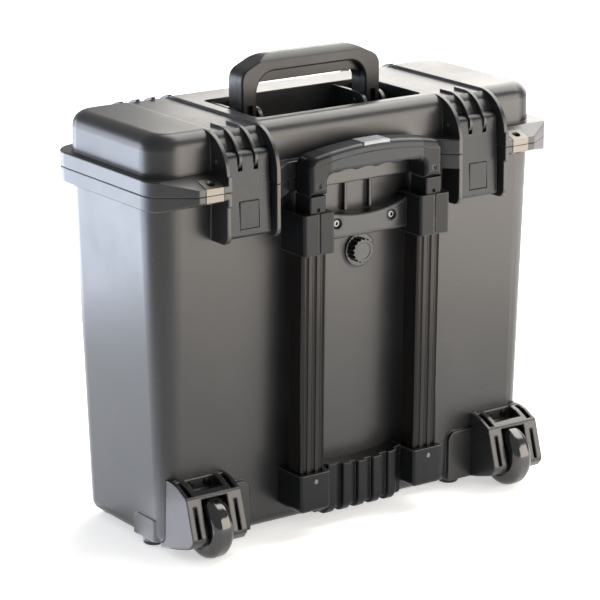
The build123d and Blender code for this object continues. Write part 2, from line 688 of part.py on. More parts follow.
def handle_envelope():
    """Side view (Y, Z) of the handle: round at the pin, crowned along the top."""
    y0, y1 = handle_pin_y - handle_front, handle_pin_y + handle_back
    foot, brow = handle_pin_z - handle_end_r, handle_top - handle_crown
    edges = [Line((y0, brow), (y0, foot)), Line((y0, foot), (y1, foot)), Line((y1, foot), (y1, brow)),
             ThreePointArc((y1, brow), ((y0 + y1) / 2, handle_top + 0.4), (y0, brow))]
    shape = make_face(edges)
    for y in (y0, y1):
        shape = fillet(shape.vertices().sort_by_distance(Vector(y, foot))[0], 9)
    return side_plate(shape, -handle_w, handle_w)


def handle_core():
    """Rear shell of the carry handle, which turns on the pins."""
    back = handle_pin_y + handle_back
    body = front_plate(handle_face(core_low, core_inner_r), back, handle_pin_y - handle_split)
    body = fillet(body.faces().sort_by(Axis.Y)[-1].edges(), 2.0) & handle_envelope()
    return body - both(handle_bore())


def handle_bore():
    """Bore for the pin through the right leg."""
    half = handle_w / 2
    return rod_x(half - handle_leg - 1, half + 1, handle_pin_y, handle_pin_z, handle_pin_r + pin_run)


def handle_cover():
    """Front shell of the carry handle, with a slot at the foot of each leg."""
    front = handle_pin_y - handle_front
    body = front_plate(handle_face(cover_low, cover_inner_r), handle_pin_y - handle_split, front)
    body = fillet(body.faces().sort_by(Axis.Y)[0].edges(), 2.0) & handle_envelope()
    slot_x = (handle_w - handle_leg) / 2
    slot = block(slot_x - 3.4, slot_x + 3.4, front - 1, front + 5, handle_pin_z - 20, handle_pin_z + 12.5)
    return body - both(slot)


def rail():
    """Right-hand outer rail: fluted extrusion with a bore for the middle tube."""
    plan = RectangleRounded(rail_w, rail_d, rail_r) - Rectangle(mid_w + 2 * tube_gap, mid_d + 2 * tube_gap)
    for k in (-1, 0, 1):
        plan = plan - Pos(k * flute_pitch, flute_deep - flute_r - rail_d / 2) * Circle(flute_r)
    return rail_frame * Pos(rail_x, 0, 0) * extrude(plan, rail_len)


def rail_hull(grow, z0, z1):
    """Envelope of the right-hand rail between two heights above its foot."""
    plan = RectangleRounded(rail_w + 2 * grow, rail_d + 2 * grow, rail_r + grow)
    return rail_frame * Pos(rail_x, 0, z0) * extrude(plan, z1 - z0)


def mid_tube():
    """Right-hand middle tube."""
    plan = Rectangle(mid_w, mid_d) - Rectangle(mid_bore_w, mid_bore_d)
    return rail_frame * Pos(rail_x, 0, 2.0) * extrude(plan, mid_len)


def neck_box(grow, z0, z1):
    """Envelope of the neck between two heights above the rail's foot."""
    y0, y1 = -neck_front - grow, neck_back + grow
    half = neck_w / 2 + grow
    return rail_frame * block(rail_x - half, rail_x + half, y0, y1, z0, z1)


def neck():
    """Moulded neck fixed on top of the right-hand middle tube."""
    body = neck_box(0, neck_low, neck_top)
    body = fillet(body.edges().filter_by(Axis((0, 0, 0), rail_way)), 2.0)
    seat = Rectangle(mid_w, mid_d)
    body = body - rail_frame * Pos(rail_x, 0, neck_low - 1) * extrude(seat, mid_len + 3.0 - neck_low)
    bore = Rectangle(tube_w + 2 * tube_gap, tube_d + 2 * tube_gap)
    body = body - rail_frame * Pos(rail_x, 0, neck_low - 1) * extrude(bore, 60)
    slot = block(rail_x - 1.8, rail_x + 1.8, -neck_front - 1, -neck_front + 2.4, neck_top - 15,
                 neck_top - 11.5)
    return body - rail_frame * slot


def inner_tube():
    """Right-hand inner tube, from inside the rail's foot up into the grip's cap."""
    plan = Rectangle(tube_w, tube_d) - Rectangle(tube_w - 2 * tube_t, tube_d - 2 * tube_t)
    top = cap_low + 20 - rail_foot_z
    return rail_frame * Pos(rail_x, 0, tube_lift) * extrude(plan, top - tube_lift)


def tube_core(z0, z1, grow=0.0):
    """Solid envelope of the right-hand inner tube."""
    plan = Rectangle(tube_w + 2 * grow, tube_d + 2 * grow)
    return rail_frame * Pos(rail_x, 0, z0) * extrude(plan, z1 - z0)


def collar():
    """Right-hand upper collar: holds the top of the rail, with a pocket for the neck."""
    wall_side = out(-8)
    x0, x1 = rail_x - collar_w / 2, rail_x + collar_w / 2
    body = block(x0, x1, out(collar_out), wall_side, collar_low, collar_top)
    body = fillet(body.edges().filter_by(Axis.Z).group_by(Axis.Y)[0], collar_r)
    half = collar_groove_w / 2
    body = body - block(rail_x - half, rail_x + half, out(collar_out + 1), out(collar_out - 1.2),
                        collar_low + 2, collar_top + 2)
    body = body - rail_hull(0.0, -5, rail_len) - neck_box(neck_pocket_gap, rail_len, rail_len + 60)
    return body - tub_form()


def bracket():
    """Right-hand lower bracket: closed socket for the foot of the rail."""
    x0, x1 = rail_x - collar_w / 2, rail_x + collar_w / 2
    body = block(x0, x1, out(bracket_out), out(-24), bracket_low, bracket_top)
    body = fillet(body.edges().filter_by(Axis.Z).group_by(Axis.Y)[0], collar_r)
    body = fillet(body.faces().sort_by(Axis.Z)[0].edges().sort_by(Axis.Y)[0], 6.0)
    rivet = rod_y(rail_x, out(bracket_out + 2), out(bracket_out - 3), bracket_top - 7.5, 1.6)
    return body - rail_hull(0.0, 0.0, rail_len) - rivet - tub_form()


def bracket_rivets():
    """Round-headed rivet through the front of each lower bracket."""
    shank = rod_y(rail_x, out(bracket_out), out(bracket_out - 3), bracket_top - 7.5, 1.6)
    head = Pos(rail_x, out(bracket_out), bracket_top - 7.5) * Rot(X=90) * extrude(Circle(2.6), 0.9, taper=30)
    return both(shank + head)


def cross_plate():
    """Plate with a hollow-curved top that ties the two collars and is screwed to the tub."""
    half = rail_x - collar_w / 2 - fit_gap / 2
    arc = ThreePointArc((-half, cross_end_z), (0, cross_mid_z), (half, cross_end_z))
    edges = [arc, Line((half, cross_end_z), (half, cross_low)), Line((half, cross_low), (-half, cross_low)),
             Line((-half, cross_low), (-half, cross_end_z))]
    face = make_face(edges)
    body = front_plate(face, out(-8), out(cross_out))
    rim = body.faces().sort_by(Axis.Y)[0].edges().sort_by(Edge.length)[-2:]
    body = fillet(rim, 2.2)
    back = front_plate(offset(face, -3.0), out(-8), out(cross_out - cross_t))
    posts = rod_y(cross_screw_x, out(cross_out - 2), out(-8), cross_screw_z, 7.5)
    body = body - (back - both(posts)) - tub_form()
    for x in (cross_screw_x, -cross_screw_x):
        body = body - rod_y(x, out(cross_out + 1), out(cross_out - 4.0), cross_screw_z, screw_head_r + 1.6)
        body = body - rod_y(x, out(cross_out + 1), out(-10), cross_screw_z, screw_r)
    return body


def cross_plate_screws():
    """Pan-head screws with a socket, sunk in the cross plate."""
    seat = cross_out - 4.0
    head = rod_y(cross_screw_x, out(seat + 2.6), out(seat), cross_screw_z, screw_head_r)
    head = fillet(head.faces().sort_by(Axis.Y)[0].edges(), 0.8)
    shank = rod_y(cross_screw_x, out(seat), out(-5.8), cross_screw_z, screw_r)
    hexagon = Pos(cross_screw_x, cross_screw_z) * RegularPolygon(1.9, 6)
    socket = front_plate(hexagon, out(seat + 1.0), out(seat + 4))
    return both(head + shank - socket)


def kick_plate():
    """Ribbed plate between the lower brackets, rounded under at the bottom."""
    half = kick_half
    side = [(out(kick_out), kick_top), (out(kick_out), kick_low), (out(-26), kick_low),
            (out(-26), kick_top)]
    body = side_plate(outline(side, [((out(kick_out), kick_low), 9)]), -half, half)
    rib_side = [(out(kick_rib_out), kick_top), (out(kick_rib_out), kick_low - 3), (out(-26), kick_low - 3),
                (out(-26), kick_top)]
    rib_face = outline(rib_side, [((out(kick_rib_out), kick_low - 3), 14)])
    rib = side_plate(rib_face, -kick_rib_w / 2, kick_rib_w / 2)
    rib = fillet(rib.edges().filter_by(Axis.Z).group_by(Axis.Y)[0], kick_rib_r)
    ribs = int((half - kick_rib_w / 2) / kick_pitch)
    for k in range(-ribs, ribs + 1):
        body = body + Pos(k * kick_pitch, 0, 0) * rib
    arc_r = (half ** 2 + kick_dip ** 2) / (2 * kick_dip)
    scoop = rod_y(0, out(kick_rib_out + 1), out(-27), kick_top - kick_dip + arc_r, arc_r)
    return body - scoop - tub_form()


def grip_profile():
    """Front view (X, Z) of the whole trolley grip with its end caps."""
    inner = grip_half - cap_w
    edges = [ThreePointArc((-grip_half, grip_top_end), (0, grip_top_mid), (grip_half, grip_top_end)),
             Line((grip_half, grip_top_end), (grip_half, cap_low)),
             Line((grip_half, cap_low), (inner, cap_low)),
             Line((inner, cap_low), (inner, grip_low)), Line((inner, grip_low), (-inner, grip_low)),
             Line((-inner, grip_low), (-inner, cap_low)), Line((-inner, cap_low), (-grip_half, cap_low)),
             Line((-grip_half, cap_low), (-grip_half, grip_top_end))]
    face = make_face(edges)
    for s in (1, -1):
        for corner, radius in (((s * grip_half, grip_top_end), grip_corner_r), ((s * inner, grip_low), 8.0)):
            face = fillet(face.vertices().sort_by_distance(Vector(*corner))[0], radius)
    return face


def grip_solid():
    """Whole grip with caps, before it is divided."""
    body = front_plate(grip_profile(), out(grip_back), out(grip_out))
    faces = body.faces().sort_by(Axis.Y)
    return fillet(faces[0].edges() + faces[-1].edges(), grip_round) - seam_groove()


def seam_groove():
    """Thin groove along the front of the grip, below its arched top."""
    drop, width = grip_seam
    end, mid = grip_top_end - drop, grip_top_mid - drop
    x = grip_half + 1
    edges = [ThreePointArc((-x, end), (0, mid), (x, end)), Line((x, end), (x, end - width)),
             ThreePointArc((x, end - width), (0, mid - width), (-x, end - width)),
             Line((-x, end - width), (-x, end))]
    return front_plate(make_face(edges), out(grip_out - width), out(grip_out + 1))


def grip_cap():
    """Right-hand end cap of the grip, on top of the inner tube."""
    start = grip_split_x + fit_gap
    keep = block(start, grip_half + 1, out(grip_out + 1), out(grip_back - 1), cap_low - 1, lid_top)
    body = grip_solid() & keep
    body = body - tube_core(0, cap_low + 20 - rail_foot_z)
    body = body - slider_room()
    screw = rod_y(rail_x, out(grip_out + 1), out(grip_out - 2.2), cap_low + 9.0, 2.6)
    hole = rod_y(rail_x, out(grip_out + 1), out(grip_out - 8), cap_low + 9.0, 1.2)
    return body - screw - hole - rod_hole()


def grip_screws():
    """Small screws that hold the caps on the inner tubes."""
    head = rod_y(rail_x, out(grip_out - 0.9), out(grip_out - 2.2), cap_low + 9.0, 2.5)
    shank = rod_y(rail_x, out(grip_out - 2.2), out(grip_out - 7), cap_low + 9.0, 1.2)
    hexagon = Pos(rail_x, cap_low + 9.0) * RegularPolygon(1.2, 6)
    socket = front_plate(hexagon, out(grip_out - 1.6), out(grip_out))
    return both(head + shank - socket)


def slider_bar(grow, low, high):
    """Envelope of the release slider's bar between two heights."""
    half, deep = slider_half + grow, slider_d / 2 + grow
    return block(-half, half, slider_y - deep, slider_y + deep, low, high)


def slider_room():
    """Room inside the grip for the release slider and its travel."""
    low = slider_top - slider_h - release_travel - slider_play
    return slider_bar(slider_play, low, slider_top + slider_play)


def grip_body():
    """Middle of the grip, with finger hollows underneath and the release button's opening on top."""
    half = grip_split_x
    body = grip_solid() & block(-half, half, out(grip_out + 1), out(grip_back - 1), cap_low - 1, lid_top)
    low = grip_low - scallop_r + scallop_deep
    pairs = int((grip_split_x - 8) / scallop_pitch)
    for k in range(pairs):
        hollow = rod_y((k + 0.5) * scallop_pitch, out(grip_out + 1), out(grip_back - 1), low, scallop_r)
        body = body - both(hollow)
    room = release_block(fit_gap, slider_top - release_travel - slider_play, grip_top_mid + 5)
    return body - slider_room() - room


def release_block(grow, low, high):
    """Envelope of the release button between two heights."""
    w, d = release_w / 2 + grow, release_d / 2 + grow
    return block(-w, w, out(release_out) - d, out(release_out) + d, low, high)


def release_button():
    """Push button on top of the grip."""
    body = release_block(0, slider_top, grip_top_mid + release_proud)
    return fillet(body.faces().sort_by(Axis.Z)[-1].edges(), 1.2)


def release_slider():
    """Bar inside the grip that carries the two release rods down the inner tubes."""
    bar = slider_bar(0, slider_top - slider_h, slider_top)
    rod_len = slider_top - slider_h / 2 - rail_foot_z - rod_lift
    rod = rail_frame * Pos(rail_x, 0, rod_lift) * extrude(Circle(rod_r), rod_len)
    return bar + both(rod)


def rod_hole():
    """Way through the cap for the release rod."""
    hole = extrude(Circle(rod_r + 0.8), slider_top - cap_low)
    return rail_frame * Pos(rail_x, 0, cap_low - rail_foot_z) * hole


def around_axle(profile):
    """Profile drawn as (distance from the axle, X), turned about the right-hand wheel's axle."""
    flat = Plane(origin=(wheel_x, axle_y, wheel_r), x_dir=(0, 0, 1), z_dir=(0, -1, 0))
    return revolve(flat * profile, Axis((wheel_x, axle_y, wheel_r), (1, 0, 0)), 360)


def wheel_tyre():
    """Round-crowned tyre of the right-hand wheel."""
    half = wheel_w / 2
    face = outline([(hub_r, -half), (wheel_r, -half), (wheel_r, half), (hub_r, half)],
                   [((wheel_r, -half), 9.5), ((wheel_r, half), 9.5)])
    return around_axle(face)


def wheel_hub():
    """Hub with a bearing seat in each end and a dished web."""
    half = wheel_w / 2 - 1
    seat = half - bearing_w
    dish = 4.5
    wall = bearing_r + 2.5
    points = [(bearing_r, half), (wall, half), (wall + 1, half - dish), (hub_r - 2.5, half - dish),
              (hub_r - 2, half), (hub_r, half), (hub_r, -half), (hub_r - 2, -half),
              (hub_r - 2.5, dish - half), (wall + 1, dish - half), (wall, -half), (bearing_r, -half),
              (bearing_r, -seat), (bearing_r - 3, -seat), (bearing_r - 3, seat), (bearing_r, seat)]
    return around_axle(outline(points))


def wheel_bearings():
    """Pair of ball bearings, each modelled as one ring with a shield groove in its outer face."""
    half = wheel_w / 2 - 1
    inner = axle_r + pin_run
    a, b = inner + 2.2, bearing_r - 1.8
    rings = []
    for s in (1, -1):
        x_out, x_in, x_dip = s * half, s * (half - bearing_w), s * (half - 0.7)
        points = [(inner, x_in), (inner, x_out), (a, x_out), (a, x_dip), (b, x_dip), (b, x_out),
                  (bearing_r, x_out), (bearing_r, x_in)]
        rings.append(around_axle(outline(points)))
    return rings[0] + rings[1]


def wheel_axle():
    """Steel axle, held in the two sides of the housing."""
    half = housing_w / 2 - axle_bed
    return rod_x(wheel_x - half, wheel_x + half, axle_y, wheel_r, axle_r)


def wheel_housing():
    """Pocketed housing that holds the wheel at the tub's lower corner."""
    top = housing_top
    brow, toe, chin = (out(axle_out + 9), top - 9.6), (out(axle_out + 21), 25.5), (out(axle_out + 14.5), 17.5)
    points = [(out(housing_rear), top), (out(-3), top - 0.4), (out(7), top - 2.6),
              (out(axle_out + 1.5), top - 6), brow, toe, chin, (out(5), 11.0), (out(housing_rear), 4.3)]
    face = outline(points, [(toe, 6), (chin, 8), (brow, 4)])
    half = housing_w / 2
    body = side_plate(face, wheel_x - half, wheel_x + half)
    body = body - tub_form()
    arch_half = wheel_w / 2 + arch_side
    x0, x1, reach = wheel_x - arch_half, wheel_x + arch_half, wheel_r + arch_gap
    arch = rod_x(x0, x1, axle_y, wheel_r, reach)
    below = block(x0, x1, axle_y - reach, axle_y + reach, -5, wheel_r)
    ahead = block(x0, x1, out(60), axle_y, -5, wheel_r * 1.92)
    boss = rod_x(x0, x1, axle_y, wheel_r, axle_boss_r)
    inner = wheel_w / 2 - 0.5
    gap = rod_x(wheel_x - inner, wheel_x + inner, axle_y, wheel_r, axle_boss_r + 1)
    body = body - (arch + below + ahead - (boss - gap)) - housing_pocket()
    for s in (1, -1):
        x = wheel_x + s * (half - top_slot_in)
        x0, x1 = x - top_slot_w / 2, x + top_slot_w / 2
        body = body - block(x0, x1, out(axle_out + 6.5), out(-3.5), top - 14, top + 5)
        body = body - block(x0, x1, out(-5.5), out(-8), top - 8, top + 5)
        x = wheel_x + s * (half - face_slot_in)
        x0, x1 = x - face_slot_w / 2, x + face_slot_w / 2
        body = body - block(x0, x1, out(60), out(axle_out + 8.5), wheel_r - 4, top - 18)
        body = body - rod_y(wheel_x + s * housing_screw_x, out(0), out(-20), housing_screw_z, screw_r)
    return body - rod_x(wheel_x - half + axle_bed, wheel_x + half - axle_bed, axle_y, wheel_r, axle_r)


def housing_pocket():
    """Cutter for the pocket in the housing's top, its floor sloping up to the brow."""
    arch_top = 2 * wheel_r + arch_gap
    points = [(out(pocket_back), housing_top + 5), (out(pocket_back), arch_top - 2.6),
              (out(4), arch_top + 0.7), (out(16), arch_top + 4.8), (out(16), housing_top + 5)]
    return side_plate(outline(points), wheel_x - pocket_half, wheel_x + pocket_half)


def housing_screws():
    """Two screws in each housing's pocket."""
    seat = pocket_back
    pair = []
    for x in (wheel_x - housing_screw_x, wheel_x + housing_screw_x):
        head = rod_y(x, out(seat + screw_seat), out(seat), housing_screw_z, 3.2)
        head = fillet(head.faces().sort_by(Axis.Y)[0].edges(), 0.6)
        pair.append(head + rod_y(x, out(seat), out(seat - 2 * wall_t + 0.2), housing_screw_z, screw_r))
    return both(pair[0] + pair[1])


def hinge_pins():
    """Steel pin through each hinge, held by the lid."""
    return cross_bars(bay_in - rib_t + 0.3, bay_out + rib_t - 0.3, hinge_y, parting_z, pin_r)


def latch_pins():
    """Steel pin through each latch, held by the lid."""
    return cross_bars(bay_in - rib_t, bay_out + rib_t, latch_pin_y, latch_pin_z, pin_r)


def handle_pins():
    """Steel pin through each leg of the carry handle, held by the ears."""
    x0, x1 = ear_xs()
    return cross_bars(x0 - 0.6, x1 + ear_t, handle_pin_y, handle_pin_z, handle_pin_r)


def valve_body():
    """Flanged stem of the pressure valve, through the tub's wall."""
    face = valve_boss_out + valve_seal_t
    flange_ring = rod_y(valve_x, out(face + valve_flange_t), out(face), valve_z, valve_r)
    flange_ring = fillet(flange_ring.faces().sort_by(Axis.Y)[0].edges(), 0.7)
    stem = rod_y(valve_x, out(face), out(-wall_t - 4 - 7), valve_z, valve_hole_r - 0.2)
    return flange_ring + stem - rod_y(valve_x, out(20), out(-40), valve_z, 5.0)


def valve_cap():
    """Lobed cap pressed into the valve's stem."""
    face = valve_boss_out + valve_seal_t + valve_flange_t
    plan = Circle(valve_cap_r)
    for k in range(valve_lobes):
        plan = plan - Rot(Z=360 * k / valve_lobes) * Pos(valve_cap_r + 0.3, 0) * Circle(1.7)
    top = face + valve_cap_h
    disc = front_plate(Pos(valve_x, valve_z) * plan, out(face), out(top))
    dish = rod_y(valve_x, out(top + 1), out(top - 0.8), valve_z, valve_cap_r - 4)
    return disc - dish + rod_y(valve_x, out(face), out(face - 6), valve_z, 5.0)


def valve_seal():
    """Flat sealing ring under the valve's flange."""
    ring = rod_y(valve_x, out(valve_boss_out + valve_seal_t), out(valve_boss_out), valve_z, valve_r - 2)
    return ring - rod_y(valve_x, out(10), out(-10), valve_z, valve_hole_r)


def valve_nut():
    """Hexagon nut on the valve's stem, inside the tub."""
    nut = front_plate(Pos(valve_x, valve_z) * RegularPolygon(15, 6), out(-wall_t - 9), out(-wall_t - 4))
    return nut - rod_y(valve_x, out(0), out(-40), valve_z, valve_hole_r - 0.2)


def tub_liner():
    """Foam lining of the tub: floor and four walls, cut away round the valve's nut."""
    skin = wall_t + fit_gap
    outer = tub_form(skin, tub_low + skin, tub_edge_r - skin)
    inner = tub_form(skin + liner_t, tub_low + skin + liner_floor, 4.0)
    body = outer - inner - block(-wall_w, wall_w, mid_y - wall_d, mid_y + wall_d, liner_top, rim_z + 5)
    return body - rod_y(valve_x, out(10), out(-40), valve_z, valve_r + 3) - wheel_well(wall_t + fit_gap)


def lid_pad():
    """Foam pad under the handle's well, filling the lid."""
    top = well_low - well_wall - fit_gap
    inset = wall_t + 1.0
    plan = RectangleRounded(wall_w - 2 * inset, wall_d - 2 * inset, corner_r - inset)
    pad = extrude(Pos(0, mid_y, top - lid_pad_t) * plan, lid_pad_t)
    return fillet(pad.faces().sort_by(Axis.Z)[0].edges(), 3.0)


def left_of(right):
    """Left-hand copy of a right-hand piece."""
    return mirror(right, Plane.YZ)


single_pieces = {
    "tub_shell": tub_shell, "lid_shell": lid_shell, "lid_gasket": gasket_ring, "lid_pad": lid_pad,
    "tub_liner": tub_liner, "hinge_pins": hinge_pins, "latch_pins": latch_pins, "handle_pins": handle_pins,
    "handle_core": handle_core, "handle_cover": handle_cover, "cross_plate": cross_plate,
    "cross_plate_screws": cross_plate_screws, "kick_plate": kick_plate, "bracket_rivets": bracket_rivets,
    "grip_body": grip_body, "grip_screws": grip_screws, "release_button": release_button,
    "release_slider": release_slider, "housing_screws": housing_screws, "valve_body": valve_body,
    "valve_cap": valve_cap, "valve_seal": valve_seal, "valve_nut": valve_nut,
}

paired_pieces = {
    "lid_hasp_plate": lambda: hasp_plate(1), "tub_hasp_plate": lambda: hasp_plate(-1),
    "latch_plate": latch_plate, "latch_button": latch_button, "latch_spring": latch_spring,
    "latch_strap": latch_strap, "trolley_rail": rail, "trolley_collar": collar, "rail_bracket": bracket,
    "mid_tube": mid_tube, "mid_neck": neck, "inner_tube": inner_tube, "grip_cap": grip_cap,
    "wheel_housing": wheel_housing, "wheel_axle": wheel_axle, "wheel_tyre": wheel_tyre,
    "wheel_hub": wheel_hub, "wheel_bearings": wheel_bearings,
}

os.makedirs("parts", exist_ok=True)
for name, make in single_pieces.items():
    export_step(make(), "parts/" + name + ".step")
for name, make in paired_pieces.items():
    piece = make()
    export_step(piece, "parts/" + name + "_right.step")
    export_step(left_of(piece), "parts/" + name + "_left.step")
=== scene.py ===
import json
import math
import bmesh
import bpy
from mathutils import Matrix, Vector, noise


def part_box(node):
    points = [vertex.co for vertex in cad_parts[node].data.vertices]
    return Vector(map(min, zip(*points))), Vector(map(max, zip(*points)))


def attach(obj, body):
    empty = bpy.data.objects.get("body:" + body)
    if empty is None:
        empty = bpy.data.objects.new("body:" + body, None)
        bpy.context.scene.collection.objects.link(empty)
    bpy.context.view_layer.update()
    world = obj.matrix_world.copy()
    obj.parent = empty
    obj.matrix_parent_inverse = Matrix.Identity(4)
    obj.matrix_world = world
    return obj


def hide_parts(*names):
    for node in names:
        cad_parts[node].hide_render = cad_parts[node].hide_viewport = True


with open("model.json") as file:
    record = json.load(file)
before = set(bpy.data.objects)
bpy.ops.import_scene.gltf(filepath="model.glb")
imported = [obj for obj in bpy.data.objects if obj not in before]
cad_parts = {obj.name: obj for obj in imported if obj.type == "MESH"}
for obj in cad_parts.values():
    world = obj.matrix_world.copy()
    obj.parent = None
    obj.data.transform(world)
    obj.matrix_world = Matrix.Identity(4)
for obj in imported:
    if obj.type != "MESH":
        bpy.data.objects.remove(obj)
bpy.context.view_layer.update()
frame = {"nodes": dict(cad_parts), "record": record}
nodes = frame["nodes"]
print("frame loaded:", len(nodes), "nodes")


def linear(hexColour):
    # sRGB hex to the linear values that the shader sockets take
    channels = [int(hexColour[i:i + 2], 16) / 255 for i in (1, 3, 5)]
    return [c / 12.92 if c <= 0.04045 else ((c + 0.055) / 1.055) ** 2.4 for c in channels] + [1.0]


def addNode(tree, kind, settings=None, links=None):
    # settings name either a socket or a property of the node; links give the socket that feeds each input
    node = tree.nodes.new(kind)
    for name, value in (settings or {}).items():
        if name in node.inputs:
            node.inputs[name].default_value = value
        else:
            setattr(node, name, value)
    for name, source in (links or {}).items():
        tree.links.new(source, node.inputs[name])
    return node


